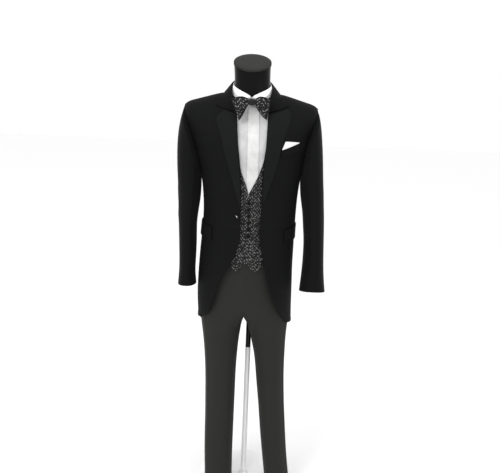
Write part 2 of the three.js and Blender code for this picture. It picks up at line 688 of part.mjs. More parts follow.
// Waistcoat.
const V_EDGE = {
  [RIGHT]: [[1500, -74], [1470, -66], [1400, -52], [1330, -42], [1292, -34], [1263, -27], [1234, -17], [1209, -6],
    [1187, 4.5], [1172, -4], [1000, -4], [951, 1.6]],
  [LEFT]: [[1500, 80], [1470, 72], [1400, 62], [1330, 53], [1292, 47], [1247, 33], [1217, 20], [1187, 4.5],
    [1172, -4], [1000, -4], [951, 1.6]],
};
const VEST_ARM_FORE = [[2.3, 90], [3, 77], [4, 67], [5, 63], [6, 66], [7, 75], [8, 90], [8.4, 98]];
const VEST_ARM_AFT = [[1.6, 90], [2.3, 97], [3, 106], [4, 118], [5, 123], [6, 120], [7, 111], [8, 99],
  [8.4, 98]];
const VEST_OUT = [[11, WAISTCOAT_LIFT], [11.5, 5.2], [12, 6.2], [12.4, 7.6], [14, 8]];
const VEST_BACK_OUT = [
  [1.6, 3.1], [2.3, 2.8], [3, 2.65], [3.6, 1.8], [4, 1.2], [6, 1.8], [8, 2.9], [9, WAISTCOAT_LIFT],
  [10, 3.6], [11, 4.2], [11.5, 5.8], [12, 6.6],
];
const vestOffset = (s) => lerpTable(VEST_OUT, s);
const HEM_LINE = [[0, 951], [8, 937], [27, 904], [45, 920], [80, 944], [120, 966], [150, 980]];
const hemRows = (line, shares, start, mean) => shares.map((f) => ({
  ring: mean,
  at: (angle) => {
    const x = Math.abs(on(mean, angle, 6)[0] - 1.6);
    return levelRing(mix(start, lerpTable(line, x), f));
  },
}));
const VEST_TIP = 0.13;
const VEST_YOKE = [0.75, ...YOKE_ROWS.slice(1)];
bothSides((side, tag) => {
  place(`waistcoat_front_${tag}`, bodyPanel({
    rows: [...VEST_YOKE, 8.5, 9, 9.3, 10, 11, 11.5, 12, ...hemRows(HEM_LINE, [0.35, 0.7, 1], 1032, 12.6)],
    cols: [0, 0.5 * VEST_TIP, VEST_TIP, 0.28, 0.46, 0.64, 0.82, 1],
    limits: (s) => [
      edgeAngle(s, V_EDGE[side], (r) => vestOffset(r) + WAISTCOAT_CLOTH),
      side * (s < 2.3 ? 90 : lerpTable(VEST_ARM_FORE, s)),
    ],
    inner: vestOffset,
    cloth: WAISTCOAT_CLOTH,
  }), WAISTCOAT_SILK);
});
place('waistcoat_back', bodyPanel({
  rows: [...VEST_YOKE, 9, 10, 11, 11.5, 12, levelRing(1020)],
  cols: 13,
  limits: (s) => {
    const seam = lerpTable(VEST_ARM_AFT, s);
    return [seam, 360 - seam];
  },
  inner: (s) => lerpTable(VEST_BACK_OUT, s),
  cloth: WAISTCOAT_CLOTH,
}), WAISTCOAT_SILK);
for (let k = 0; k < 6; k += 1) {
  const z = 1151 - BUTTON_PITCH * k;
  const x = 5 + 0.4 * k;
  const s = levelRing(z);
  const lift = vestOffset(s) + WAISTCOAT_CLOTH;
  const angle = solve(-40, 40, (a) => on(s, a, lift)[0] - x);
  const solid = button(on(s, angle, lift + SEAM), normalAt(s, angle, lift), 7, 2.6);
  place(`waistcoat_button_${k + 1}`, solid, BUTTON_BLACK);
}

// Trousers: rows from the waist to the hem. Edges are the inner and outer x of each leg as
// seen from the front; below the seat the two legs part and each closes at its inseam.
const LEG = table(['z', 'inR', 'outR', 'inL', 'outL', 'fore', 'aft', 'shift', 'start'], [
  [TROUSER_TOP_Z, 4, -148, 4, 156, 110, 103, 0, 0],
  [965, 2.5, -150.5, 2.5, 155.5, 111, 110, 0, 0],
  [910, 0, -153, 0, 154, 110, 117, 0, 0],
  [855, 0, -154.5, 0, 154, 107, 118, 0, 0],
  [805, 0, -155, 0, 156, 102, 116, 0, 0],
  [760, 0, -155.5, 0, 159, 97, 110, 0, -10],
  [735, 0, -155, 0, 160, 95, 106, 0, -32],
  [715, -1, -154, 1, 160, 93, 102, 0, -55],
  [692, -5.5, -153, 10, 159, 91, 98, 0, -78],
  [665, -9, -150, 18, 157, 88, 94, 1, -90],
  [635, -13, -146, 26, 155, 85, 90, 2, -90],
  [600, -17, -142, 33.5, 154, 82, 86, 3, -90],
  [550, -20, -137.5, 45.5, 153.5, 78, 82, 3, -90],
  [485, -23, -133.5, 52.5, 154, 75, 79, 2, -90],
  [415, -23.5, -131.8, 59.5, 157.5, 72, 77, 1, -90],
  [345, -24.5, -130.8, 68, 161.5, 70, 75, 0, -90],
  [265, -25, -130, 75, 168, 69, 73, -2, -90],
  [160, -26, -131.5, 87.5, 177.5, 68, 71, -6, -90],
  [HEM_Z, -25, -126, 104, 196, 66, 69, -13, -90],
]);
const POLE_SLOT = [[780, 0], [760, 24], [735, 34], [640, 34], [625, 0]];
function legPoint(row, side, face, turnAngle, shrink) {
  const inner = side === RIGHT ? row.inR : row.inL;
  const outer = side === RIGHT ? row.outR : row.outL;
  const closing = -Math.sin(row.start * DEG);
  const from = inner + side * shrink * closing;
  const to = outer - side * shrink;
  const sine = bent(Math.sin(turnAngle * DEG), ROUND);
  const first = bent(Math.sin(row.start * DEG), ROUND);
  const depth = (face < 0 ? row.fore : row.aft) - shrink;
  return [
    mix(from, to, (sine - first) / (1 - first)),
    row.shift + face * depth * Math.abs(Math.cos(turnAngle * DEG)) ** ROUND,
    row.z,
  ];
}
function legTurns(row, side, face, shares) {
  let from = row.start;
  if (face > 0 && side === LEFT) {
    const clear = lerpTable(POLE_SLOT, row.z);
    if (clear > 0) from = solve(row.start, 80, (t) => legPoint(row, side, face, t, TROUSER_CLOTH)[0] - clear);
  }
  return shares.map((f) => mix(from, 90, f));
}
const LEG_SHARES = spread(7);
bothSides((side, tag) => {
  for (const [face, word] of [[-1, 'front'], [1, 'back']]) {
    const build = (shrink) => LEG.map((row) => legTurns(row, side, face, LEG_SHARES)
      .map((t) => legPoint(row, side, face, t, shrink)));
    place(`trouser_${word}_${tag}`, closeGrids(trim(build(0)), trim(build(TROUSER_CLOTH))), TROUSER_WOOL);
  }
});
const band = (angles, heights, low, high) => heights.map((z) => angles.map((a) => {
  const s = levelRing(z);
  return [on(s, a, low), on(s, a, high)];
}));
const bandGrid = band(spread(31).map((f) => mix(0.1, 359.9, f)), [WAISTBAND_TOP_Z, 1035, TROUSER_TOP_Z], 1.5,
  1.5 + TROUSER_CLOTH);
place('trouser_waistband', closeGrids(
  trim(bandGrid.map((row) => row.map((pair) => pair[1]))),
  trim(bandGrid.map((row) => row.map((pair) => pair[0]))),
), TROUSER_WOOL);

// Shirt front: pleated bib, placket, collar band and folded wings.
const BAND = { low: 1470, lowRise: 24, top: 1489, topRise: 44 };
const bandWave = (angle) => ((1 - Math.cos(angle * DEG)) / 2) ** 0.35;
const bandLow = (angle) => BAND.low + BAND.lowRise * Math.sin(Math.min(Math.abs(angle), 90) * DEG) ** 2;
const bandPoint = (angle, f, out) => {
  const sn = Math.sin(angle * DEG);
  const cs = Math.cos(angle * DEG);
  const half = mix(67.3, 61.5, f) + out;
  const deep = (cs > 0 ? mix(62.8, 61.8, f) : mix(72.8, 60.8, f)) + out;
  const low = Math.abs(angle) <= 180 ? bandLow(angle) : bandLow(360 - angle);
  const side = angle > 180 ? 360 - angle : angle;
  const foot = side > 90 ? mix(BAND.low + BAND.lowRise, 1500, (side - 90) / 90) : low;
  const top = BAND.top + BAND.topRise * bandWave(angle);
  return [1 + half * sn, -deep * cs, mix(foot, top, f)];
};
const BAND_TURNS = spread(33).map((f) => mix(0.3, 359.7, f));
const bandRows = (out) => [1, 0.5, 0].map((f) => BAND_TURNS.map((a) => bandPoint(a, f, out)));
place('shirt_collar_band', closeGrids(trim(bandRows(SHIRT_CLOTH)), trim(bandRows(0))), SHIRT_COTTON);

const PLEAT = 0.5;
const BIB_SHARES = [0, 0.1, 0.17, 0.21, 0.25, 0.29, 0.33, 0.37, 0.5, 0.63, 0.67, 0.71, 0.75, 0.79, 0.83,
  0.9, 1];
const isPleat = (f, k) => f > 0.1 && f < 0.9 && Math.abs(f - 0.5) > 0.15 && k % 2 === 1;
const BIB_PLEATS = BIB_SHARES.map((f, k) => (isPleat(f, k) ? PLEAT : 0));
const bibTop = { ring: -0.6, at: (angle) => ringAtHeight(angle, bandLow(angle) - 4) };
const bibRow = (f) => ({ ring: 0.4, at: (angle) => mix(bibTop.at(angle), 1, f) });
const BIB_HALF = 76;
const angleOfX = (s, x, lift) => solve(-85, 85, (a) => on(s, a, lift)[0] - x);
place('shirt_bib', bodyPanel({
  rows: [bibTop, bibRow(0.35), bibRow(0.7), 1, 1.6, 2.3, 3, 4, 5, 6.3, 7, 8, 8.5, 9, 9.5],
  cols: BIB_SHARES,
  limits: (s) => [-BIB_HALF, BIB_HALF].map((x) => (s < 1 ? Math.sign(x) * 52 : angleOfX(s, 4 + x, 1.9))),
  inner: (s, angle, k) => (s > 7.5 ? SEAM : SHIRT_LIFT) + (s < 1 ? 0.5 : 0) + BIB_PLEATS[k] * (s < 8 ? 1 : 0),
  cloth: SHIRT_CLOTH,
}), SHIRT_COTTON);
const placketTop = { ring: -0.5, at: (angle) => ringAtHeight(angle, 1462) };
const PLACKET_EDGES = [-9.5, 27];
const PLACKET_LEAN = 0.5;
place('shirt_placket', bodyPanel({
  rows: [placketTop, 0.5, 1, 1.6, 2.3, 3, 4, 5, 6.3, 7, 8, 8.5, 9],
  cols: 4,
  limits: (s) => PLACKET_EDGES.map((x) => angleOfX(s, x + PLACKET_LEAN * s, 3.4)),
  inner: (s) => (s > 7.5 ? 2 * SEAM : SHIRT_LIFT + REST + (s < 1 ? 0.9 : 0.5)) + SHIRT_CLOTH,
  cloth: 1,
}), SHIRT_COTTON);
const WING_TURNS = [72, 50, 27, 5];
const WING_TIPS = [[59, -34, 1508], [51, -60, 1497], [38, -79, 1490], [7, -77, 1489]];
const WING_BELLY = 3;
bothSides((side, tag) => {
  const rows = spread(3).map((v) => WING_TURNS.map((turned, i) => {
    const fold = add(bandPoint(turned, 1, 2 * SHIRT_CLOTH + REST), [-1, 0, 0]);
    const p = blend(fold, WING_TIPS[i], v);
    return [side * p[0] + 1, p[1] - WING_BELLY * Math.sin(Math.PI * v), p[2]];
  }));
  place(`shirt_wing_${tag}`, thicken(rows, SHIRT_CLOTH, { flip: side }), SHIRT_COTTON);
});

// Bow tie: two puffed wings and a plain knot.
const BOW = {
  [RIGHT]: {
    top: [[-9.8, 1488.5], [-25, 1496], [-37, 1496], [-52, 1492], [-65, 1487]],
    low: [[-9.8, 1468], [-17.5, 1455], [-24, 1440], [-30.5, 1427], [-38, 1418]],
  },
  [LEFT]: {
    top: [[12.8, 1488.5], [21, 1496.5], [33, 1498], [47, 1494.5], [61, 1488.5]],
    low: [[12.8, 1468], [19, 1456], [28, 1443], [39, 1430], [52, 1423]],
  },
};
const BOW_FRONT = -92;
bothSides((side, tag) => {
  const { top, low } = BOW[side];
  const grid = (depth) => spread(5).map((v) => spread(6).map((u) => {
    const a = between(top, u);
    const b = between(low, u);
    const swell = Math.sin(Math.PI * v) ** 0.7 * (0.1 + 0.9 * Math.sin(Math.PI * 0.85 * u ** 0.8));
    return [mix(a[0], b[0], v), BOW_FRONT + depth * (2 + 5 * swell), mix(a[1], b[1], v)];
  }));
  place(`bow_wing_${tag}`, closeGrids(grid(-1), grid(0.8)), WAISTCOAT_SILK);
});
const KNOT = { x: 1.5, z: 1479, sides: 16, square: 0.7 };
const knotRing = (y, w, h) => Array.from({ length: KNOT.sides }, (_, j) => {
  const a = (2 * Math.PI * j) / KNOT.sides;
  return [KNOT.x + w * bent(Math.cos(a), KNOT.square), y, KNOT.z + h * bent(Math.sin(a), KNOT.square)];
});
place('bow_knot', stack([
  knotRing(-104, 8, 6.5),
  knotRing(-102, 12, 9),
  knotRing(-99, 14.2, 10.8),
  knotRing(-96.2, 13.6, 10.4),
  knotRing(-95.4, 10.2, 9.4),
  knotRing(-84, 9.4, 8.5),
  knotRing(-64.4, 7, 7.5),
]), BUTTON_BLACK);

export default group;
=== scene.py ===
"""Morning suit on a limbless dress form: the cloth, trims and stand dressed for pictures."""

from __future__ import annotations

import json
import logging
import math
from collections.abc import Iterator
from contextlib import contextmanager
from dataclasses import dataclass, field
from enum import Enum

import bmesh
import bpy
import numpy as np
from mathutils import Matrix, Vector
from mathutils.bvhtree import BVHTree

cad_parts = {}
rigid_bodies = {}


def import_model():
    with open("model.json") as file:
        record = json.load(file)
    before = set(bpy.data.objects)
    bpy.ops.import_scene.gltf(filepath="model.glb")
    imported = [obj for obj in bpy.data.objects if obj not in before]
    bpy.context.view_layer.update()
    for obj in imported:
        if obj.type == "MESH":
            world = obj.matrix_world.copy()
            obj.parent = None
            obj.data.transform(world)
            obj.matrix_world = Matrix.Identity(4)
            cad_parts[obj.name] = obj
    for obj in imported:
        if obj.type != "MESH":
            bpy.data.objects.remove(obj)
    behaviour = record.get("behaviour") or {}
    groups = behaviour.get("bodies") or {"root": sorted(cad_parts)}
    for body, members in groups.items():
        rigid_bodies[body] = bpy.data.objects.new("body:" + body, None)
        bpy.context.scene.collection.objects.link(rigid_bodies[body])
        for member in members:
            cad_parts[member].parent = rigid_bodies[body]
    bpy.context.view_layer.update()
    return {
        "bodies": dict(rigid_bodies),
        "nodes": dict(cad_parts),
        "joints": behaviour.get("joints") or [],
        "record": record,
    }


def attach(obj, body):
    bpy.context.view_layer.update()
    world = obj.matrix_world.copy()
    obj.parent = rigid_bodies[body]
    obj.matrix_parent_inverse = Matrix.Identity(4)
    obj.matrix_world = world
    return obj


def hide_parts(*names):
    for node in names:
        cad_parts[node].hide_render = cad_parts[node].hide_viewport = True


Colour = tuple[float, float, float]
Place = tuple[float, float, float]
Material = bpy.types.Material
Mesh = bpy.types.Mesh
Node = bpy.types.Node
Object = bpy.types.Object
Socket = bpy.types.NodeSocket

LOG = logging.getLogger("morning_suit")
MM = 0.001
TURN = 2 * math.pi
POLE = np.array([20.0, 45.0, 0.0])
FORWARD = Vector((0, -1, 0))
BODY = "root"
NECKBAND = ("shirt_collar_band",)
SHARP = math.radians(52)
CORNER = math.radians(38)
RIM_LEAST = 0.0032
SAME_PLACE = 2e-5
SAME_STITCH = 0.0035
UPRIGHT = 0.3
SIDEWAYS = 0.35
FLAT_SPARE = 1.02
LEAST_SHARE = 0.31
LEAST_CUT = 0.02
LEAST_POINTS = 8
FLAT_JOIN = math.radians(28)
SHAPE_JOIN = math.radians(70)
CLOTH_LEVELS = 2
FINE_LEVELS = 3
HARD_EDGE = 0.6
IMAGE_WIDTH = 500
FOCAL_PIXELS = 752.0
CAMERA_PLACE = (-8.2, -2545.0, 1800.0)
CAMERA_PITCH = 17.74
CAMERA_ROLL = 2.2


class Side(Enum):
    """Side of the wearer."""

    RIGHT = "r"
    LEFT = "l"

    @property
    def sign(self) -> int:
        """Direction of this side along X."""
        return -1 if self is Side.RIGHT else 1


def from_suit(x: float, y: float, z: float) -> np.ndarray:
    """Place in metres of a point given from the middle of the suit.

    Args:
        x: Millimetres to the wearer's left.
        y: Millimetres backwards.
        z: Millimetres above the floor.

    Returns:
        The point in the part's frame.
    """
    return (np.array([x, y, z]) - POLE) * MM


class Value:
    """Socket of a node tree that adds Math nodes when it is used in sums."""

    def __init__(self, tree: bpy.types.NodeTree, socket: Socket) -> None:
        """Wraps a socket of a tree."""
        self.tree = tree
        self.socket = socket

    def _math(self, operation: str, *terms: Value | float) -> Value:
        """Adds a Math node.

        Args:
            operation: Blender's name of the operation.
            terms: Values or numbers, in order.

        Returns:
            The node's result.
        """
        node = self.tree.nodes.new("ShaderNodeMath")
        node.operation = operation
        for place, term in zip(node.inputs, terms):
            if isinstance(term, Value):
                self.tree.links.new(term.socket, place)
            else:
                place.default_value = term
        return Value(self.tree, node.outputs[0])

    def __add__(self, other: Value | float) -> Value:
        """Sum."""
        return self._math("ADD", self, other)

    __radd__ = __add__

    def __sub__(self, other: Value | float) -> Value:
        """Difference."""
        return self._math("SUBTRACT", self, other)

    def __rsub__(self, other: float) -> Value:
        """Difference from a number."""
        return self._math("SUBTRACT", other, self)

    def __mul__(self, other: Value | float) -> Value:
        """Product."""
        return self._math("MULTIPLY", self, other)

    __rmul__ = __mul__

    def __truediv__(self, other: Value | float) -> Value:
        """Quotient."""
        return self._math("DIVIDE", self, other)

    def wave(self, length: float) -> Value:
        """Sine wave from 0 to 1 with this length."""
        return self.sine(length) * 0.5 + 0.5

    def sine(self, length: float) -> Value:
        """Sine wave from -1 to 1 with this length."""
        return self._math("SINE", self * (TURN / length))

    def swing(self) -> Value:
        """Triangle wave from 0 to 1 with a period of 1."""
        return self._math("PINGPONG", self * 2.0, 1.0)

    def step(self, low: float, high: float) -> Value:
        """Soft step from 0 at low to 1 at high."""
        slope = (self - low) / (high - low)
        return slope._math("MINIMUM", slope._math("MAXIMUM", slope, 0.0), 1.0)


class Tree:
    """Node tree under construction."""

    def __init__(self, tree: bpy.types.NodeTree) -> None:
        """Starts on a tree."""
        self.tree = tree

    def add(self, kind: str, settings: dict | None = None, inputs: dict | None = None) -> Node:
        """Adds any node.

        Args:
            kind: Type of the node.
            settings: Properties set first.
            inputs: Numbers, sockets or Value objects by socket name or number.

        Returns:
            The node.
        """
        node = self.tree.nodes.new(kind)
        for key, value in (settings or {}).items():
            setattr(node, key, value)
        for key, value in (inputs or {}).items():
            source = value.socket if isinstance(value, Value) else value
            if isinstance(source, Socket):
                self.tree.links.new(source, node.inputs[key])
            else:
                node.inputs[key].default_value = source
        return node


class Shade(Tree):
    """Material under construction: a Principled shader and what feeds it."""

    def __init__(self, name: str, **constants: float | tuple[float, ...]) -> None:
        """Makes a material and sets the shader's own sockets.

        Args:
            name: Name of the material.
            constants: Socket values, with spaces in the socket's name as underscores.
        """
        self.material = bpy.data.materials.new(name)
        self.material.use_nodes = True
        super().__init__(self.material.node_tree)
        self.shader = self.tree.nodes["Principled BSDF"]
        for key, value in constants.items():
            self.shader.inputs[key.replace("_", " ")].default_value = value

    def read(self, node: Node, output: str | int = 0) -> Value:
        """Output of a node as a value."""
        return Value(self.tree, node.outputs[output])

    def across_cloth(self) -> tuple[Value, Value, Socket]:
        """Metres along and up the cloth.

        Returns:
            The two values, and the socket that holds both.
        """
        place = self.add("ShaderNodeUVMap", {"uv_map": "cloth"})
        parts = self.add("ShaderNodeSeparateXYZ", None, {0: place.outputs[0]})
        return self.read(parts, 0), self.read(parts, 1), place.outputs[0]

    def noise(self, where: Socket, scale: float, detail: float = 3.0) -> Value:
        """Smooth noise from 0 to 1 at a scale in cycles a metre."""
        inputs = {"Vector": where, "Scale": scale, "Detail": detail}
        return self.read(self.add("ShaderNodeTexNoise", {"noise_dimensions": "3D"}, inputs))

    def mix(self, amount: Value | float, first: Colour | Socket, second: Colour | Socket) -> Socket:
        """Colour between two colours."""
        colours = [c if isinstance(c, Socket) else (*c, 1.0) for c in (first, second)]
        inputs = {0: amount, 6: colours[0], 7: colours[1]}
        return self.add("ShaderNodeMix", {"data_type": "RGBA"}, inputs).outputs[2]

    def drive(self, **links: Value | Socket) -> None:
        """Links what changes over the surface to the shader."""
        for key, value in links.items():
            socket = value.socket if isinstance(value, Value) else value
            self.tree.links.new(socket, self.shader.inputs[key.replace("_", " ")])

    def raise_by(self, height: Value, depth: float, strength: float = 1.0) -> None:
        """Gives the surface a relief.

        Args:
            height: Height from 0 to 1.
            depth: Depth in metres.
            strength: Share of the relief.
        """
        bump = self.add("ShaderNodeBump", None, {"Height": height, "Distance": depth, "Strength": strength})
        self.drive(Normal=bump.outputs[0])


def brighter(colour: Colour, times: float) -> Colour:
    """Colour made brighter, up to full white."""
    return tuple(min(1.0, times * part) for part in colour)


@dataclass(frozen=True)
class WoolFinish:
    """Fine wool twill, with an optional woven stripe."""

    name: str
    dark: Colour
    light: Colour
    rib: float = 0.0013
    stripe: float = 0.0
    sheen: float = 0.02
    gloss: float = 0.12

    def build(self) -> Material:
        """Makes the material."""
        shade = Shade(self.name, Specular_IOR_Level=self.gloss, Sheen_Weight=self.sheen, Sheen_Roughness=0.45)
        along, up, where = shade.across_cloth()
        twill = (along + up).wave(self.rib)
        fibre = shade.noise(where, 1400.0, 2.0)
        cloud = shade.noise(where, 9.0, 4.0)
        tone = twill * 0.45 + fibre * 0.35 + cloud * 0.2
        colour = shade.mix(tone, self.dark, self.light)
        if self.stripe:
            line = (along + up * 0.5).wave(self.stripe).step(0.6, 0.98)
            broken = shade.noise(where, 190.0, 2.0).step(0.35, 0.65)
            colour = shade.mix(line * broken * 0.2, colour, brighter(self.light, 2.4))
        shade.drive(Base_Color=colour, Roughness=fibre * 0.14 + 0.74)
        shade.raise_by(twill * 0.6 + fibre * 0.4, 0.00022, 0.6)
        return shade.material


@dataclass(frozen=True)
class SilkFinish:
    """Black silk with broken silver zigzag lines, plain along marked edges."""

    name: str
    ground: Colour = (0.0035, 0.0035, 0.0038)
    silver: Colour = (0.19, 0.19, 0.185)
    tooth: float = 0.0285
    line: float = 0.0118
    steepness: float = 0.62
    flecks: float = 178.0
    edged: bool = False

    def build(self) -> Material:
        """Makes the material."""
        shade = Shade(self.name, Specular_IOR_Level=0.2, Sheen_Weight=0.02, Sheen_Roughness=0.4)
        along, up, where = shade.across_cloth()
        zigzag = (along / self.tooth).swing() * (self.tooth * self.steepness)
        fleck = shade.noise(where, self.flecks, 0.0)
        mask = (up + zigzag).wave(self.line).step(0.62, 0.88) * fleck.step(0.5, 0.56)
        if self.edged:
            border = shade.read(shade.add("ShaderNodeAttribute", {"attribute_name": "inside"}), 2)
            mask = mask * border.step(0.3, 0.6)
        thread = (along - up).wave(0.0007)
        colour = shade.mix(mask, self.ground, self.silver)
        shade.drive(Base_Color=colour, Roughness=0.62 - mask * 0.2)
        shade.raise_by(mask * 0.7 + thread * 0.3, 0.0002, 0.5)
        return shade.material


@dataclass(frozen=True)
class CottonFinish:
    """Plain white shirting or linen."""

    name: str
    light: Colour
    dark: Colour
    thread: float = 0.0006
    crumple: float = 0.0006

    def build(self) -> Material:
        """Makes the material."""
        shade = Shade(self.name, Specular_IOR_Level=0.3, Sheen_Weight=0.15, Sheen_Roughness=0.5)
        along, up, where = shade.across_cloth()
        weave = along.sine(self.thread) * up.sine(self.thread) * 0.5 + 0.5
        soft = shade.noise(where, 28.0, 3.0)
        colour = shade.mix(soft.step(0.3, 0.7), self.dark, self.light)
        shade.drive(Base_Color=colour, Roughness=soft * 0.1 + 0.7)
        shade.raise_by(weave * 0.12 + soft * 0.88, self.crumple, 0.5)
        return shade.material


@dataclass(frozen=True)
class SatinFinish:
    """Plain dark satin, for the waistcoat's back and the tie's knot."""

    name: str
    colour: Colour

    def build(self) -> Material:
        """Makes the material."""
        shade = Shade(self.name, Specular_IOR_Level=0.25, Sheen_Weight=0.02)
        along, up, where = shade.across_cloth()
        soft = shade.noise(where, 40.0, 3.0)
        rib = up.wave(0.0009)
        colour = shade.mix(soft, self.colour, brighter(self.colour, 1.5))
        shade.drive(Base_Color=colour, Roughness=soft * 0.15 + 0.36)
        shade.raise_by(rib * 0.3 + soft * 0.7, 0.0002, 0.4)
        return shade.material


@dataclass(frozen=True)
class HardFinish:
    """Moulded plastic, horn or painted metal."""

    name: str
    colour: Colour
    rough: float
    metal: float = 0.0
    coat: float = 0.0
    grain: float = 60.0
    gloss: float = 0.5
    relief: float = 0.00006

    def build(self) -> Material:
        """Makes the material."""
        shade = Shade(self.name, Metallic=self.metal, Coat_Roughness=0.08, Specular_IOR_Level=self.gloss)
        place = shade.add("ShaderNodeTexCoord").outputs["Object"]
        cloud = shade.noise(place, self.grain, 4.0)
        speck = shade.noise(place, self.grain * 14, 2.0)
        shade.drive(
            Base_Color=shade.mix(cloud, self.colour, brighter(self.colour, 1.35)),
            Roughness=cloud * 0.12 + (self.rough - 0.05),
            Coat_Weight=cloud * (0.4 * self.coat) + self.coat,
        )
        shade.raise_by(speck, self.relief, 0.4)
        return shade.material


@dataclass(frozen=True)
class Chart:
    """Upright line round which cloth is measured and eased outwards."""

    heights: np.ndarray
    places: np.ndarray
    radii: np.ndarray

    @classmethod
    def through(cls, nodes: list[Object], step: float = 0.05) -> Chart:
        """Line through the middle of some nodes.

        Args:
            nodes: Nodes that lie round the line.
            step: Height of each slice in metres.

        Returns:
            The chart.
        """
        points = np.vstack([points_of(node.data) for node in nodes])
        slices = np.arange(points[:, 2].min(), points[:, 2].max() + step, step)
        heights, places, radii = [], [], []
        for low in slices:
            cut = points[(points[:, 2] >= low - step / 2) & (points[:, 2] < low + step * 1.5)]
            if len(cut) < LEAST_POINTS:
                continue
            middle = (cut[:, :2].min(0) + cut[:, :2].max(0)) / 2
            heights.append(cut[:, 2].mean())
            places.append(middle)
            radii.append(np.linalg.norm(cut[:, :2] - middle, axis=1).mean())
        return cls(np.array(heights), smooth(np.array(places)), smooth(np.array(radii)))

    def middle(self, heights: np.ndarray) -> np.ndarray:
        """Points of the line at some heights."""
        return np.stack([np.interp(heights, self.heights, self.places[:, k]) for k in (0, 1)], axis=1)

    def outwards(self, points: np.ndarray) -> np.ndarray:
        """Level unit directions away from the line."""
        away = points[:, :2] - self.middle(points[:, 2])
        away /= np.maximum(np.linalg.norm(away, axis=1, keepdims=True), 1e-6)
        return np.column_stack([away, np.zeros(len(points))])

    def turn(self, points: np.ndarray, facing: float = 0.0) -> np.ndarray:
        """Angles in radians from the front towards the wearer's left, within half a turn of facing."""
        away = points[:, :2] - self.middle(points[:, 2])
        angle = np.arctan2(away[:, 0], -away[:, 1]) - facing
        return (angle + math.pi) % (2 * math.pi) - math.pi

    def unroll(self, points: np.ndarray, facing: float) -> np.ndarray:
        """Metres round and up the line, as the cloth would lie flat."""
        round_it = self.turn(points, facing) * np.interp(points[:, 2], self.heights, self.radii)
        return np.column_stack([round_it, points[:, 2]])


def smooth(rows: np.ndarray) -> np.ndarray:
    """Rows averaged with their neighbours."""
    padded = np.concatenate([rows[:1], rows, rows[-1:]])
    return (padded[:-2] + 2 * padded[1:-1] + padded[2:]) / 4


@contextmanager
def opened(mesh: Mesh) -> Iterator[bmesh.types.BMesh]:
    """Lets a mesh be edited, then writes it back."""
    work = bmesh.new()
    work.from_mesh(mesh)
    yield work
    work.to_mesh(mesh)
    work.free()


def placed(name: str, data: bpy.types.ID) -> Object:
    """Object of some data, put into the scene."""
    thing = bpy.data.objects.new(name, data)
    bpy.context.scene.collection.objects.link(thing)
    return thing


def made_plain(live: Object, name: str) -> Object:
    """Plain object of what a live one's modifiers make, in its place."""
    bpy.context.view_layer.update()
    done = bpy.data.meshes.new_from_object(live.evaluated_get(bpy.context.evaluated_depsgraph_get()))
    live.modifiers.clear()
    bpy.data.objects.remove(live)
    done.name = name
    return placed(name, done)


def points_of(mesh: Mesh) -> np.ndarray:
    """Vertex places of a mesh, one row each."""
    flat = np.empty(len(mesh.vertices) * 3, dtype=np.float64)
    mesh.vertices.foreach_get("co", flat)
    return flat.reshape(-1, 3)


@dataclass(frozen=True)
class Fold:
    """Soft ridge in the cloth along a line, in millimetres from the middle of the suit."""

    line: tuple[Place, ...]
    width: float
    height: float

    def lift(self, points: np.ndarray, chart: Chart) -> np.ndarray:
        """Metres that each point moves outwards."""
        stops = np.array([from_suit(*stop) for stop in self.line])
        nearest = np.full(len(points), np.inf)
        ends = np.ones(len(points))
        total = len(stops) - 1
        for k, (start, end) in enumerate(zip(stops[:-1], stops[1:])):
            along = end - start
            share = np.clip(((points - start) @ along) / (along @ along), 0.0, 1.0)
            away = np.linalg.norm(points - (start + share[:, None] * along), axis=1)
            nearer = away < nearest
            nearest = np.where(nearer, away, nearest)
            ends = np.where(nearer, (k + share) / total, ends)
        taper = 0.35 + 0.65 * np.sin(np.clip(ends, 0.02, 0.98) * math.pi) ** 0.6
        return self.height * MM * taper * np.exp(-((nearest / (self.width * MM)) ** 2))


@dataclass(frozen=True)
class Flutes:
    """Slow waves round hanging cloth that fade out upwards."""

    count: float
    phase: float
    height: float
    low: float
    high: float
    slant: float = 2.2

    def lift(self, points: np.ndarray, chart: Chart) -> np.ndarray:
        """Metres that each point moves outwards."""
        fade = np.clip((self.high - points[:, 2] / MM) / (self.high - self.low), 0.0, 1.0)
        turns = chart.turn(points) * self.count + self.phase + points[:, 2] * self.slant
        wave = 0.5 + 0.5 * np.cos(turns)
        return self.height * MM * fade * wave


@dataclass(frozen=True)
class PressedCrease:
    """Sharp ridge pressed down a trouser leg."""

    angle: float
    height: float
    width: float
    low: float
    high: float
    fade_up: float = 120.0
    fade_down: float = 20.0
    at_hem: float = 0.2

    def lift(self, points: np.ndarray, chart: Chart) -> np.ndarray:
        """Metres that each point moves outwards."""
        off = np.abs(chart.turn(points, self.angle)) * np.interp(points[:, 2], chart.heights, chart.radii)
        level = points[:, 2] / MM
        above = np.clip((self.high - level) / self.fade_up, 0.0, 1.0)
        fade = above * np.clip((level - self.low) / self.fade_down, self.at_hem, 1.0)
        return self.height * MM * fade * np.exp(-off / (self.width * MM))


@dataclass(frozen=True)
class Ease:
    """Broad unevenness of cloth that hangs, from fixed waves."""

    height: float
    length: float
    seed: float = 0.0
    waves: int = 7
    upright: float = 0.55

    def lift(self, points: np.ndarray, chart: Chart) -> np.ndarray:
        """Metres that each point moves outwards."""
        total = np.zeros(len(points))
        rng = np.random.default_rng(int(self.seed * 100) + 7)
        for _ in range(self.waves):
            direction = rng.normal(size=3) * (1.0, 1.0, self.upright)
            direction /= np.linalg.norm(direction)
            phase = rng.uniform(0, 2 * math.pi)
            total += np.cos(points @ direction * (2 * math.pi / (self.length * MM)) + phase)
        return self.height * MM * (0.5 + total / (2 * self.waves))


Shaping = Fold | Flutes | PressedCrease | Ease


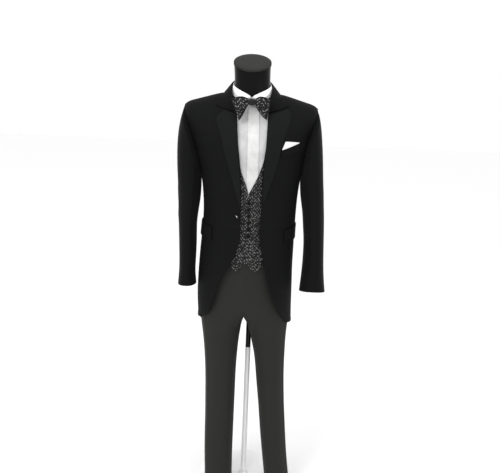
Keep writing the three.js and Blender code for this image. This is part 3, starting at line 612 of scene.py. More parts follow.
@dataclass
class Cloth:
    """One cut piece of cloth: which node it stands for and how it is finished."""

    node: str
    slot: str
    finish: Material
    chart: Chart
    facing: float = 0.0
    shaping: tuple[Shaping, ...] = ()
    levels: int = CLOTH_LEVELS
    softness: float = 0.9
    meet: float = 0.0
    held: str = "hung"
    rests_on: tuple[str, ...] = ("form_torso",)
    shell: Object | None = field(default=None, init=False)
    rims: list[tuple[np.ndarray, np.ndarray]] = field(default_factory=list, init=False)

    def build(self, frame: dict) -> Object:
        """Makes the finished piece.

        Args:
            frame: The loaded frame.

        Returns:
            The piece, on its body.
        """
        coarse = self._quads(frame["nodes"][self.node])
        piece = refined(coarse, f"{self.node}_cloth", self.levels)
        points = points_of(piece.data)
        lift = sum((shape.lift(points, self.chart) for shape in self.shaping), np.zeros(len(points)))
        points += self.chart.outwards(points) * lift[:, None]
        piece.data.vertices.foreach_set("co", points.ravel())
        self._chart_uv(piece.data, points)
        shade_smooth(piece.data)
        piece.data.materials.clear()
        piece.data.materials.append(self.finish)
        settle(piece, self.slot, self.node)
        self._declare(piece, points)
        self.shell = piece
        return piece

    def _quads(self, node: Object) -> Mesh:
        """Copy of a node's mesh, joined up into quads with creased rims."""
        mesh = node.data.copy()
        kept_apart = dict.fromkeys(("cmp_seam", "cmp_sharp", "cmp_uvs", "cmp_vcols", "cmp_materials"), False)
        with opened(mesh) as work:
            bmesh.ops.remove_doubles(work, verts=work.verts, dist=SAME_PLACE)
            bmesh.ops.join_triangles(work, faces=work.faces, angle_face_threshold=FLAT_JOIN,
                                     angle_shape_threshold=SHAPE_JOIN, **kept_apart)
            layers = work.edges.layers.float
            crease = layers.get("crease_edge") or layers.new("crease_edge")
            for edge in work.edges:
                if len(edge.link_faces) != 2 or edge.calc_face_angle(0.0) > SHARP:
                    edge[crease] = self.softness
                    self._note_rim(edge)
            self._crease_corners(work)
            self._draw_seams_shut(work)
        return mesh

    def _crease_corners(self, work: bmesh.types.BMesh) -> None:
        """Keeps the cloth's cut corners crisp where its rim turns sharply."""
        corner = work.verts.layers.float.new("crease_vert")
        for vert in work.verts:
            rims = [edge for edge in vert.link_edges
                    if edge.calc_length() > RIM_LEAST and edge.calc_face_angle(0.0) > SHARP]
            if len(rims) != 2:
                continue
            to_first, to_second = ((edge.other_vert(vert).co - vert.co).normalized() for edge in rims)
            if to_first.angle(to_second) < math.pi - CORNER:
                vert[corner] = 1.0

    def _draw_seams_shut(self, work: bmesh.types.BMesh) -> None:
        """Moves the upright seam walls out by a hair, so that sewn pieces meet."""
        moves = {}
        for face in work.faces:
            outward = self.chart.outwards(np.array([face.calc_center_median()[:]]))[0]
            if abs(face.normal.z) < UPRIGHT and abs(np.dot(outward, face.normal[:])) < SIDEWAYS:
                for vert in face.verts:
                    moves[vert] = face.normal * self.meet
        for vert, move in moves.items():
            vert.co += move

    def _note_rim(self, edge: bmesh.types.BMEdge) -> None:
        """Keeps an outer rim edge with the direction into the cloth."""
        if len(edge.link_faces) != 2:
            return
        wall = max(edge.link_faces, key=lambda face: face.calc_area())
        ends = np.array([vert.co[:] for vert in edge.verts])
        outward = self.chart.outwards(ends[:1])[0]
        if np.dot(outward, wall.normal[:]) < 0.1:
            return
        along = ends[1] - ends[0]
        size = np.linalg.norm(along)
        if size < 1e-6:
            return
        along /= size
        inward = np.array(wall.calc_center_median()[:]) - ends.mean(0)
        inward -= along * np.dot(inward, along)
        reach = np.linalg.norm(inward)
        if reach > 1e-6:
            self.rims.append((ends, inward / reach))

    def _chart_uv(self, mesh: Mesh, points: np.ndarray) -> None:
        """Gives the piece metres of cloth as its UV map."""
        flat = self.chart.unroll(points, self.facing)
        for layer in list(mesh.uv_layers):
            mesh.uv_layers.remove(layer)
        layer = mesh.uv_layers.new(name="cloth")
        corners = np.empty(len(mesh.loops), dtype=np.int32)
        mesh.loops.foreach_get("vertex_index", corners)
        layer.data.foreach_set("uv", flat[corners].astype(np.float32).ravel())

    def _declare(self, piece: Object, points: np.ndarray) -> None:
        area = sum(face.area for face in piece.data.polygons) / 2
        flat = self.chart.unroll(points, self.facing)
        size = np.maximum(flat.max(0) - flat.min(0), LEAST_CUT)
        if size.prod() < area * FLAT_SPARE:
            size *= math.sqrt(area * FLAT_SPARE / size.prod())
        share = max(area, LEAST_SHARE * size.prod())
        LOG.info("%s: cut %.0f x %.0f mm, %.0f cm2", piece.name, *(size / MM), share * 1e4)

    def seam_line(self, inset: float, low: float, high: float, wide: tuple[float, float]) -> list[np.ndarray]:
        """Lines that follow the piece's outer rims at a distance.

        Args:
            inset: Distance from the rim in metres.
            low: Lowest height of the line in metres.
            high: Greatest height in metres.
            wide: Least and greatest X in metres.

        Returns:
            Edges as pairs of points on the finished cloth.
        """
        tree = BVHTree.FromObject(self.shell, bpy.context.evaluated_depsgraph_get())
        lines = []
        for ends, inward in self.rims:
            middle = ends.mean(0)
            if not (low <= middle[2] <= high and wide[0] <= middle[0] <= wide[1]):
                continue
            pair = []
            for end in ends:
                place, _, _, _ = tree.find_nearest(Vector(end + inward * inset))
                pair.append(np.array(place[:]))
            lines.append(np.array(pair))
        return lines


def refined(mesh: Mesh, name: str, levels: int) -> Object:
    """Object of a mesh with its subdivision applied."""
    rough = placed(f"{name}_rough", mesh)
    bend = rough.modifiers.new("smooth", "SUBSURF")
    bend.levels = bend.render_levels = levels
    bend.use_limit_surface = False
    return made_plain(rough, name)


def shade_smooth(mesh: Mesh, angle: float = 0.75) -> None:
    """Smooth shading that breaks at sharp edges."""
    mesh.polygons.foreach_set("use_smooth", [True] * len(mesh.polygons))
    mesh.set_sharp_from_angle(angle=angle)
    mesh.update()


def settle(piece: Object, slot: str, *nodes: str) -> None:
    """Puts a finished piece on the body in place of its nodes."""
    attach(piece, BODY)
    if nodes:
        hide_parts(*nodes)
    LOG.info("%s: %d faces", piece.name, len(piece.data.polygons))


def new_piece(name: str, verts: list, faces: list, material: Material) -> Object:
    """Object of a mesh from its points and faces."""
    mesh = bpy.data.meshes.new(name)
    mesh.from_pydata([tuple(vert) for vert in verts], [], faces)
    mesh.materials.append(material)
    mesh.update()
    return placed(name, mesh)


def turned(profile: list[tuple[float, float]], sides: int) -> tuple[list, list]:
    """Closed turned shape round +Z.

    Args:
        profile: Radius and height from the bottom's middle to the top's middle, first and last radius 0.
        sides: Number of sides.

    Returns:
        Points and faces.
    """
    verts = [Vector((0, 0, profile[0][1]))]
    for radius, height in profile[1:-1]:
        for k in range(sides):
            angle = 2 * math.pi * k / sides
            verts.append(Vector((radius * math.cos(angle), radius * math.sin(angle), height)))
    verts.append(Vector((0, 0, profile[-1][1])))
    rows = len(profile) - 2
    faces = [(0, 1 + (k + 1) % sides, 1 + k) for k in range(sides)]
    for row in range(rows - 1):
        base = 1 + row * sides
        for k in range(sides):
            after = (k + 1) % sides
            faces.append((base + k, base + after, base + sides + after, base + sides + k))
    last = 1 + (rows - 1) * sides
    faces += [(last + k, last + (k + 1) % sides, len(verts) - 1) for k in range(sides)]
    return verts, faces


def lying_frame(node: Object, away: Vector) -> Matrix:
    """Place and turn of a small flat node.

    Args:
        node: The node.
        away: Rough direction that its face looks.

    Returns:
        Matrix whose Z leaves the face, at the node's middle.
    """
    points = points_of(node.data)
    middle = (points.min(0) + points.max(0)) / 2
    _, _, axes = np.linalg.svd(points - points.mean(0), full_matrices=False)
    normal = Vector(axes[2])
    if normal.dot(away) < 0:
        normal.negate()
    side = Vector((0, 0, 1)).cross(normal).normalized()
    up = normal.cross(side)
    turn = Matrix((side, up, normal)).transposed().to_4x4()
    return Matrix.Translation(Vector(middle)) @ turn


def within(node: Object, way: Matrix) -> np.ndarray:
    """Vertex places of a node in a frame of its own."""
    return np.array([(way.inverted() @ Vector(point))[:] for point in points_of(node.data)])


class TrimTree(Tree):
    """Geometry Nodes tree with named inputs that ends in plain, painted geometry."""

    def __init__(self, name: str, inputs: dict[str, str]) -> None:
        """Starts the tree.

        Args:
            name: Name of the tree.
            inputs: Kind of each input by name, beside the geometry and the material.
        """
        super().__init__(bpy.data.node_groups.new(name, "GeometryNodeTree"))
        self.keys = {}
        kinds = {"Geometry": "Geometry", **inputs, "Material": "Material"}
        self.tree.interface.new_socket("Geometry", in_out="OUTPUT", socket_type="NodeSocketGeometry")
        for title, kind in kinds.items():
            socket = self.tree.interface.new_socket(title, in_out="INPUT", socket_type=f"NodeSocket{kind}")
            self.keys[title] = socket.identifier
        self.given = self.add("NodeGroupInput").outputs

    def finish(self, made: Socket) -> None:
        """Ends the tree with realized, painted geometry."""
        real = self.add("GeometryNodeRealizeInstances", None, {0: made})
        inputs = {"Geometry": real.outputs[0], "Material": self.given["Material"]}
        self.add("NodeGroupOutput", None, {0: self.add("GeometryNodeSetMaterial", None, inputs).outputs[0]})

    def run(self, name: str, mesh: Mesh, values: dict[str, object]) -> Object:
        """Runs the tree on a mesh.

        Args:
            name: Name of the result.
            mesh: What the tree starts from.
            values: Value of each input by name.

        Returns:
            A plain mesh object.
        """
        source = placed(f"{name}_line", mesh)
        change = source.modifiers.new("trim", "NODES")
        change.node_group = self.tree
        for title, value in values.items():
            change[self.keys[title]] = value
        return made_plain(source, name)


class Trims:
    """Small things repeated by Geometry Nodes along the cloth."""

    def __init__(self) -> None:
        """Builds both trees."""
        self.stitching = self._stitch_tree()
        self.buttoning = self._button_tree()

    def _stitch_tree(self) -> TrimTree:
        """Tree that lays small stitches along a line."""
        tree = TrimTree("pick_stitches", {"Pitch": "Float", "Length": "Float", "Width": "Float"})
        given, add = tree.given, tree.add
        line = add("GeometryNodeMeshToCurve", None, {0: given["Geometry"]})
        even = add("GeometryNodeResampleCurve", {"mode": "LENGTH"},
                   {"Curve": line.outputs[0], "Length": given["Pitch"]})
        ball = add("GeometryNodeMeshIcoSphere", None, {"Radius": 0.5, "Subdivisions": 1})
        size = add("ShaderNodeCombineXYZ", None, {0: given["Length"], 1: given["Width"], 2: given["Width"]})
        along = add("GeometryNodeInputTangent")
        turn = add("FunctionNodeAlignRotationToVector", {"axis": "X"}, {"Vector": along.outputs[0]})
        lay = add("GeometryNodeInstanceOnPoints", None, {
            "Points": even.outputs[0],
            "Instance": ball.outputs[0],
            "Rotation": turn.outputs[0],
            "Scale": size.outputs[0],
        })
        tree.finish(lay.outputs[0])
        return tree

    def _button_tree(self) -> TrimTree:
        """Tree that sews a button on each point, facing the point's own direction."""
        tree = TrimTree("sewn_buttons", {"Button": "Object", "Size": "Float"})
        given, add = tree.given, tree.add
        model = add("GeometryNodeObjectInfo", None, {"Object": given["Button"]})
        face = add("GeometryNodeInputNamedAttribute", {"data_type": "FLOAT_VECTOR"}, {"Name": "faces"})
        turn = add("FunctionNodeAlignRotationToVector", {"axis": "Z"}, {"Vector": face.outputs[0]})
        dots = add("GeometryNodeMeshToPoints", None, {"Mesh": given["Geometry"]})
        lay = add("GeometryNodeInstanceOnPoints", None, {
            "Points": dots.outputs[0],
            "Instance": model.outputs["Geometry"],
            "Rotation": turn.outputs[0],
            "Scale": given["Size"],
        })
        tree.finish(lay.outputs[0])
        return tree

    def stitch(self, name: str, slot: str, material: Material, lines: list[np.ndarray],
               pitch: float = 0.006, length: float = 0.0024, width: float = 0.0005) -> None:
        """Sews a row of stitches.

        Args:
            name: Name of the piece.
            slot: Name of a material slot; not used.
            material: Thread.
            lines: Pairs of points, metres.
            pitch: Distance between stitches.
            length: Length of one stitch.
            width: Thickness of the thread.
        """
        if not lines:
            LOG.warning("%s: no line to sew", name)
            return
        points = np.vstack(lines)
        mesh = bpy.data.meshes.new(f"{name}_path")
        mesh.from_pydata([tuple(p) for p in points], [(2 * k, 2 * k + 1) for k in range(len(lines))], [])
        with opened(mesh) as work:
            bmesh.ops.remove_doubles(work, verts=work.verts, dist=SAME_STITCH)
        values = {"Pitch": pitch, "Length": length, "Width": width, "Material": material}
        piece = self.stitching.run(name, mesh, values)
        settle(piece, slot)

    def sew_buttons(self, name: str, slot: str, material: Material, model: Object,
                    places: list[tuple[np.ndarray, np.ndarray]], size: float) -> None:
        """Sews buttons on cloth.

        Args:
            name: Name of the piece.
            slot: Name of a material slot; not used.
            material: Finish of the buttons.
            model: One button, 1 unit across.
            places: Point and facing direction of each.
            size: Diameter in metres.
        """
        mesh = bpy.data.meshes.new(f"{name}_points")
        mesh.from_pydata([tuple(place) for place, _ in places], [], [])
        faces = mesh.attributes.new("faces", "FLOAT_VECTOR", "POINT")
        faces.data.foreach_set("vector", np.array([way for _, way in places], dtype=np.float32).ravel())
        piece = self.buttoning.run(name, mesh, {"Button": model, "Size": size, "Material": material})
        shade_smooth(piece.data)
        settle(piece, slot)


@dataclass
class ButtonMaker:
    """Round button with a raised rim and crossed threads, 1 unit across."""

    sides: int = 40
    rim: float = 0.13
    depth: float = 0.2
    well: float = 0.66

    def shape(self, name: str, material: Material) -> Object:
        """Makes one button, back at Z = 0 and face towards +Z."""
        edge, top = 0.5, self.depth
        inner, floor = edge - self.rim, top * self.well
        profile = [
            (0, 0), (edge * 0.72, 0), (edge * 0.94, top * 0.2), (edge, top * 0.5), (edge * 0.97, top * 0.82),
            (edge * 0.88, top), (edge - self.rim * 0.7, top * 0.96), (inner, top * 0.72),
            (inner * 0.8, floor), (inner * 0.45, floor), (0, floor),
        ]
        piece = new_piece(name, *turned(profile, self.sides), material)
        with opened(piece.data) as work:
            for turn in (math.radians(45), math.radians(135)):
                place = Matrix.Translation((0, 0, floor)) @ Matrix.Rotation(turn, 4, "Z")
                thread = place @ Matrix.Diagonal((0.3, 0.045, 0.05, 1))
                bmesh.ops.create_icosphere(work, subdivisions=2, radius=0.5, matrix=thread)
        shade_smooth(piece.data)
        return piece


@dataclass
class Coat:
    """Black cutaway morning coat."""

    wool: Material
    # Lapel wool: the coat's wool painted lighter, as painted light where the lapels catch more light
    facing: Material
    thread: Material
    button: Material
    body: Chart
    sleeves: dict[Side, Chart]
    stitch_inset: float = 0.005
    breast_inset: float = 0.003
    cuff_buttons: int = 4
    cuff_button: float = 0.0145
    cuff_start: float = 0.045
    cuff_pitch: float = 0.0175
    cuff_turn: float = 2.55
    waist_button: float = 0.02
    waist_turn: float = 2.82
    waist_level: float = 1.068
    seam_take: float = 0.45
    sleeve_folds: tuple[tuple[tuple[Place, ...], float, float], ...] = (
        (((14, -42, 1330), (10, -56, 1180), (0, -66, 1040)), 12, 3.0),
        (((-16, -40, 1290), (-10, -60, 1170)), 10, 2.6),
        (((22, -20, 1180), (4, -64, 1120)), 11, 2.8),
        (((22, -26, 1090), (-4, -72, 1060)), 12, 2.6),
        (((-20, -40, 1000), (8, -78, 960)), 12, 2.2),
    )
    pieces: dict[str, Cloth] = field(default_factory=dict)

    def chest_shaping(self) -> tuple[Shaping, ...]:
        """Soft unevenness of the coat's body and tails, shared by all that lies on them."""
        dimples = (
            Fold(((-168, -62, 1392), (-150, -84, 1382), (-128, -98, 1384)), 9, 3.4),
            Fold(((-172, -60, 1352), (-150, -88, 1345), (-124, -104, 1350)), 10, 3.6),
            Fold(((-168, -62, 1306), (-142, -96, 1312), (-116, -112, 1322)), 12, 3.0),
            Fold(((166, -62, 1388), (146, -86, 1380), (128, -98, 1384)), 10, 2.2),
            Fold(((168, -62, 1330), (140, -98, 1328)), 13, 2.2),
        )
        drags = (
            Fold(((-40, -130, 1112), (-92, -116, 1134), (-140, -80, 1142)), 9, 1.8),
            Fold(((-40, -130, 1098), (-90, -116, 1082), (-140, -80, 1068)), 10, 1.8),
            Fold(((30, -132, 1105), (84, -118, 1128), (132, -84, 1134)), 9, 1.6),
            Fold(((30, -132, 1096), (84, -118, 1078), (132, -84, 1062)), 10, 1.6),
        )
        return (*dimples, *drags, Flutes(7, 0.6, 4.5, 640, 1020), Ease(1.6, 170, 1.0))

    def sleeve_shaping(self, side: Side) -> tuple[Shaping, ...]:
        """Folds of one sleeve."""
        out = side.sign
        middle = 210 if side is Side.RIGHT else 222
        return (
            *(
                Fold(tuple((out * (middle + aside), deep, up) for aside, deep, up in line), width, height)
                for line, width, height in self.sleeve_folds
            ),
            Ease(2.2, 130, 2.0 + out),
        )

    def build(self, frame: dict, trims: Trims) -> None:
        """Makes every piece of the coat.

        Args:
            frame: The loaded frame.
            trims: Where stitches and buttons come from.
        """
        chest = self.chest_shaping()
        for side in Side:
            tag = side.value
            plan = {
                f"coat_forepart_{tag}": (side.sign * 0.5, ("form_torso", "waistcoat_back")),
                f"coat_side_{tag}": (side.sign * 1.6, ("form_torso",)),
                f"coat_back_{tag}": (side.sign * 2.6, ("form_torso",)),
                f"coat_skirt_{tag}": (side.sign * 1.2, (f"coat_forepart_{tag}",)),
                f"coat_lapel_{tag}": (side.sign * 0.5, (f"coat_forepart_{tag}",)),
                f"coat_flap_{tag}": (side.sign * 0.9, (f"coat_skirt_{tag}",)),
            }
            for node, (facing, on) in plan.items():
                self._add(frame, node, self.body, facing, chest, on)
            folds = self.sleeve_shaping(side)
            for layer, facing, under in (("top", 0.0, "forepart"), ("under", math.pi, "side")):
                self._add(frame, f"coat_{layer}sleeve_{tag}", self.sleeves[side], facing, folds,
                          (f"coat_{under}_{tag}",))
        self._add(frame, "coat_collar", self.body, 0.0, chest, NECKBAND)
        self._add(frame, "coat_breast_welt", self.body, 0.5, chest, ("coat_forepart_l",))
        self._sew(trims)
        self._button_cuffs(trims)

    def _add(self, frame: dict, node: str, chart: Chart, facing: float, shaping: tuple[Shaping, ...],
             on: tuple[str, ...]) -> None:
        """Builds one piece of the coat."""
        # Lapels get the lighter copy of the coat wool: painted light on the same cloth
        finish = self.facing if "lapel" in node else self.wool
        meet = self.seam_take * MM if "sleeve" in node else 0.0
        cloth = Cloth(node, "coat_wool", finish, chart, facing, shaping, meet=meet, rests_on=on)
        cloth.build(frame)
        self.pieces[node] = cloth

    def _sew(self, trims: Trims) -> None:
        """Pick stitches along the free edges."""
        runs = {}
        for tag in (side.value for side in Side):
            runs[f"coat_lapel_{tag}"] = (self.stitch_inset, 1.0, 1.6)
            runs[f"coat_flap_{tag}"] = (self.stitch_inset, 0.5, 1.06)
            runs[f"coat_skirt_{tag}"] = (self.stitch_inset, 0.5, 1.03)
        runs["coat_breast_welt"] = (self.breast_inset, 1.0, 1.6)
        for node, run in runs.items():
            lines = self.pieces[node].seam_line(*run, (-1.0, 1.0))
            trims.stitch(f"{node}_stitches", "coat_wool", self.thread, lines)

    def _button_cuffs(self, trims: Trims) -> None:
        """Four buttons up the back of each cuff, and two at the back of the waist."""
        model = ButtonMaker().shape("cuff_button_model", self.button)
        for side in Side:
            tag = side.value
            cloth = self.pieces[f"coat_undersleeve_{tag}"]
            chart, turn = cloth.chart, side.sign * self.cuff_turn
            start = chart.heights.min() + self.cuff_start
            levels = [start + self.cuff_pitch * k for k in range(self.cuff_buttons)]
            cuff = [wall_point(cloth.shell, chart, turn, level) for level in levels]
            back = self.pieces[f"coat_back_{tag}"].shell
            waist = [wall_point(back, self.body, side.sign * self.waist_turn, self.waist_level)]
            for name, places, size in ((f"cuff_buttons_{tag}", cuff, self.cuff_button),
                                       (f"waist_button_{tag}", waist, self.waist_button)):
                trims.sew_buttons(name, "button_black", self.button, model, [p for p in places if p], size)
        bpy.data.objects.remove(model)


def wall_point(wall: Object, chart: Chart, turn: float,
               level: float) -> tuple[np.ndarray, np.ndarray] | None:
    """Point of a wall seen from outside towards a chart's line.

    Args:
        wall: The cloth.
        chart: Line that the view ends on.
        turn: Angle from the front towards the wearer's left.
        level: Height in metres.

    Returns:
        The point and its outward direction, or None where nothing is there.
    """
    tree = BVHTree.FromObject(wall, bpy.context.evaluated_depsgraph_get())
    middle = chart.middle(np.array([level]))[0]
    away = Vector((math.sin(turn), -math.cos(turn), 0))
    start = Vector((middle[0], middle[1], level)) + away * 0.5
    place, normal, _, _ = tree.ray_cast(start, -away)
    if place is None:
        LOG.warning("%s: nothing at %.2f, %.3f", wall.name, turn, level)
        return None
    if normal.dot(away) < 0:
        normal.negate()
    return np.array(place[:]), np.array(normal[:])


@dataclass
class Waistcoat:
    """Patterned waistcoat with six buttons and a plain back."""

    silk: Material
    lining: Material
    thread: Material
    button: Material
    body: Chart
    button_count: int = 6
    stitch_inset: float = 0.004
    stitch_size: tuple[float, float, float] = (0.004, 0.002, 0.0004)

    def build(self, frame: dict, trims: Trims) -> None:
        """Makes the waistcoat."""
        folds = (
            Fold(((-6, -124, 1120), (-60, -112, 1136)), 8, 0.9),
            Fold(((6, -124, 1060), (56, -112, 1044)), 8, 0.9),
            Ease(0.5, 120, 5.0),
        )
        for side in Side:
            tag = side.value
            cloth = Cloth(f"waistcoat_front_{tag}", "waistcoat_silk", self.silk, self.body, shaping=folds)
            cloth.build(frame)
            lines = cloth.seam_line(self.stitch_inset, 0.7, 1.6, (-0.1, 0.06))
            trims.stitch(f"waistcoat_stitches_{tag}", "waistcoat_silk", self.thread, lines, *self.stitch_size)
        Cloth("waistcoat_back", "waistcoat_lining", self.lining, self.body, math.pi).build(frame)
        for k in range(1, self.button_count + 1):
            place_button(frame, f"waistcoat_button_{k}", self.button)


def place_button(frame: dict, node: str, material: Material) -> None:
    """Puts a shaped button where its node is."""
    source = frame["nodes"][node]
    way = lying_frame(source, FORWARD)
    size = np.ptp(within(source, way), axis=0)
    across, thick = size[:2].mean(), size[2]
    piece = ButtonMaker(depth=thick / across).shape(f"{node}_horn", material)
    piece.data.transform(way @ Matrix.Translation((0, 0, -thick / 2)) @ Matrix.Scale(across, 4))
    settle(piece, "button_black", node)


@dataclass
class PaintedGlint:
    """Small bright bar let slantwise into the face of the coat's button: a painted highlight that stands for
    the button's glint.
    """

    metal: Material
    long: float = 0.0085
    wide: float = 0.0024
    thick: float = 0.0012
    raised: float = 0.001
    slant: float = math.radians(-52)

    def build(self, frame: dict) -> None:
        """Makes the bright bar, a painted highlight, on the button's face."""
        source = frame["nodes"]["coat_button"]
        way = lying_frame(source, FORWARD)
        top = within(source, way)[:, 2].max()
        place = Matrix.Translation((0, self.raised, top)) @ Matrix.Rotation(self.slant, 4, "Z")
        size = Matrix.Diagonal((self.long, self.wide, self.thick, 1))
        piece = new_piece("coat_button_inlay", [], [], self.metal)
        with opened(piece.data) as work:
            bmesh.ops.create_icosphere(work, subdivisions=3, radius=0.5, matrix=way @ place @ size)
        shade_smooth(piece.data)
        settle(piece, "button_black")


@dataclass
class Trousers:
    """Charcoal trousers with pressed creases."""

    wool: Material
    legs: dict[Side, Chart]
    body: Chart
    crease: dict[Side, float] = field(default_factory=lambda: {Side.RIGHT: -0.75, Side.LEFT: 0.95})

    def build(self, frame: dict) -> None:
        """Makes the trousers."""
        for side in Side:
            out = side.sign
            front = (
                PressedCrease(self.crease[side], 5.0, 10.0, 24, 900),
                Ease(2.2, 210, 8.0 + out),
                Fold(((out * 60, -70, 700), (out * 86, -76, 560), (out * 96, -70, 420)), 14, 2.4),
            )
            behind = math.pi - self.crease[side] * 0.3
            back = (PressedCrease(behind, 5.0, 10.0, 24, 900), Ease(2.2, 210, 8.0 + out))
            for part, facing, shaping in (("front", 0.0, front), ("back", math.pi, back)):
                Cloth(f"trouser_{part}_{side.value}", "trouser_wool", self.wool, self.legs[side], facing,
                      shaping, levels=FINE_LEVELS).build(frame)
        Cloth("trouser_waistband", "trouser_wool", self.wool, self.body).build(frame)


@dataclass
class ShirtFront:
    """White shirt front with wing collar."""

    cotton: Material
    # Bib cotton: the white shirting painted darker grey, as painted shade on the shirt front
    bib_cotton_painted_shade: Material
    # Placket cotton: the white shirting painted grey, as painted shade on the shirt front
    strip: Material
    body: Chart

    def build(self, frame: dict) -> None:
        """Makes the shirt front."""
        wrinkles = (
            Fold(((-44, -104, 1306), (0, -112, 1300), (40, -106, 1308)), 5, 1.2),
            Fold(((-40, -106, 1284), (-6, -113, 1288), (36, -108, 1282)), 5, 1.1),
            Fold(((-30, -108, 1262), (26, -110, 1266)), 5, 0.9),
        )
        # Bib and placket get greyer copies of the shirt cotton: painted shade, darkest on the bib
        for node, finish in (("shirt_bib", self.bib_cotton_painted_shade), ("shirt_placket", self.strip)):
            Cloth(node, "shirt_cotton", finish, self.body, shaping=wrinkles).build(frame)
        for node in ("shirt_collar_band", "shirt_wing_r", "shirt_wing_l"):
            Cloth(node, "shirt_cotton", self.cotton, self.body, softness=0.95, held="folded").build(frame)


@dataclass
class BowTie:
    """Bow with patterned wings, plain borders and a plain knot."""

    silk: Material
    plain: Material
    body: Chart
    border: float = 0.0052
    slices: int = 17

    def build(self, frame: dict) -> None:
        """Makes the bow."""
        for side in Side:
            out = side.sign
            drop = -6 if side is Side.RIGHT else 0
            pleats = tuple(
                Fold(((out * 12, -96, 1478 + k), (out * 34, -98, 1474 + drop + 3.0 * k)), 3.2, 1.6)
                for k in (-4, 3)
            )
            wing = Cloth(f"bow_wing_{side.value}", "waistcoat_silk", self.silk, self.body, shaping=pleats,
                         levels=FINE_LEVELS, held="folded", rests_on=NECKBAND).build(frame)
            self._mark_border(wing.data, out)
        Cloth("bow_knot", "bow_black", self.plain, self.body, levels=FINE_LEVELS, softness=0.4,
              held="folded", rests_on=NECKBAND).build(frame)

    def _mark_border(self, mesh: Mesh, out: int) -> None:
        """Stores how far inside its border each point of a wing lies, from 0 to 1."""
        points = points_of(mesh)
        reach = points[:, 0] * out
        slots = np.linspace(reach.min(), reach.max(), self.slices + 1)
        which = np.clip(np.digitize(reach, slots) - 1, 0, self.slices - 1)
        cuts = [points[which == k, 2] if (which == k).any() else np.zeros(1) for k in range(self.slices)]
        low = np.array([cut.min() for cut in cuts])
        high = np.array([cut.max() for cut in cuts])
        middles = (slots[:-1] + slots[1:]) / 2
        down = points[:, 2] - np.interp(reach, middles, low)
        up = np.interp(reach, middles, high) - points[:, 2]
        inside = np.minimum(np.minimum(down, up), reach.max() - reach) / self.border - 0.35
        mark = mesh.attributes.new("inside", "FLOAT", "POINT")
        mark.data.foreach_set("value", np.clip(inside, 0, 1).astype(np.float32))


@dataclass
class PocketSquare:
    """White linen square folded into the breast pocket."""

    linen: Material
    body: Chart
    shaping: tuple[Shaping, ...] = ()

    def build(self, frame: dict) -> None:
        """Makes the square, eased outwards with the coat behind it."""
        pleat = Fold(((88, -118, 1316), (104, -112, 1342)), 4, 1.2)
        Cloth("pocket_square", "pocket_linen", self.linen, self.body, shaping=(*self.shaping, pleat),
              softness=0.7, held="folded", rests_on=("coat_breast_welt",)).build(frame)


@dataclass
class DressForm:
    """Gloss black moulded torso with a grey neck cap."""

    gloss: Material
    grey: Material
    body: Chart

    def build(self, frame: dict) -> None:
        """Makes the torso and its cap."""
        parts = (("form_torso", "form_gloss", self.gloss), ("form_neck_cap", "cap_grey", self.grey))
        for node, slot, finish in parts:
            shell = Cloth(node, slot, finish, self.body, softness=0.97)
            piece = refined(shell._quads(frame["nodes"][node]), f"{node}_moulding", CLOTH_LEVELS)
            shade_smooth(piece.data, HARD_EDGE)
            piece.data.materials.clear()
            piece.data.materials.append(finish)
            settle(piece, slot, node)


@dataclass
class Stand:
    """Round base plate and pole."""

    steel: Material
    # Black for the pole above the telescope joint: the pole's own black, and also painted shade between the
    # legs
    black_and_shade: Material
    paint: Material
    sides: int = 96
    telescope: float = 0.556
    edge: float = 0.0035

    def build(self, frame: dict) -> None:
        """Makes the plate and the pole inside their nodes' outlines."""
        parts = (("stand_base", "stand_base", self.paint), ("stand_pole", "stand_steel", self.steel))
        for node, slot, finish in parts:
            points = points_of(frame["nodes"][node].data)
            radii = np.linalg.norm(points[:, :2], axis=1)
            above = points[:, 2].min() + 1e-4
            rings = {(round(float(radius), 4), round(float(height), 4))
                     for radius, height in zip(radii, points[:, 2]) if radius > 1e-4}
            outline = sorted(rings, key=lambda ring: (ring[1], -ring[0] if ring[1] > above else ring[0]))
            profile = [(0.0, outline[0][1]), *self._rounded(outline), (0.0, outline[-1][1])]
            verts, faces = turned(profile, self.sides)
            piece = new_piece(f"{node}_turned", verts, faces, finish)
            shade_smooth(piece.data, HARD_EDGE)
            if node == "stand_pole":
                self._black_and_shade_top(piece.data)
            settle(piece, slot, node)

    def _black_and_shade_top(self, mesh: Mesh) -> None:
        """Cuts the pole's wall at the telescope joint and gives the part above it black enamel, which is also
        painted shade for the dark strip between the legs.
        """
        mesh.materials.append(self.black_and_shade)
        with opened(mesh) as work:
            bmesh.ops.bisect_plane(work, geom=[*work.verts, *work.edges, *work.faces],
                                   plane_co=(0, 0, self.telescope), plane_no=(0, 0, 1))
            for face in work.faces:
                face.material_index = int(face.calc_center_median().z > self.telescope)

    def _rounded(self, outline: list[tuple[float, float]]) -> list[tuple[float, float]]:
        """Outline with each corner cut by a small arc."""
        result = []
        whole = [(0.0, outline[0][1]), *outline, (0.0, outline[-1][1])]
        for before, corner, after in zip(whole[:-2], whole[1:-1], whole[2:]):
            here = np.array(corner)
            to_before, to_after = np.array(before) - here, np.array(after) - here
            reach = min(self.edge, 0.4 * np.linalg.norm(to_before), 0.4 * np.linalg.norm(to_after))
            if reach < 1e-5:
                continue
            start = here + to_before / np.linalg.norm(to_before) * reach
            end = here + to_after / np.linalg.norm(to_after) * reach
            for share in (0.0, 0.25, 0.5, 0.75, 1.0):
                point = (1 - share) ** 2 * start + 2 * share * (1 - share) * here + share**2 * end
                result.append((float(point[0]), float(point[1])))
        return result


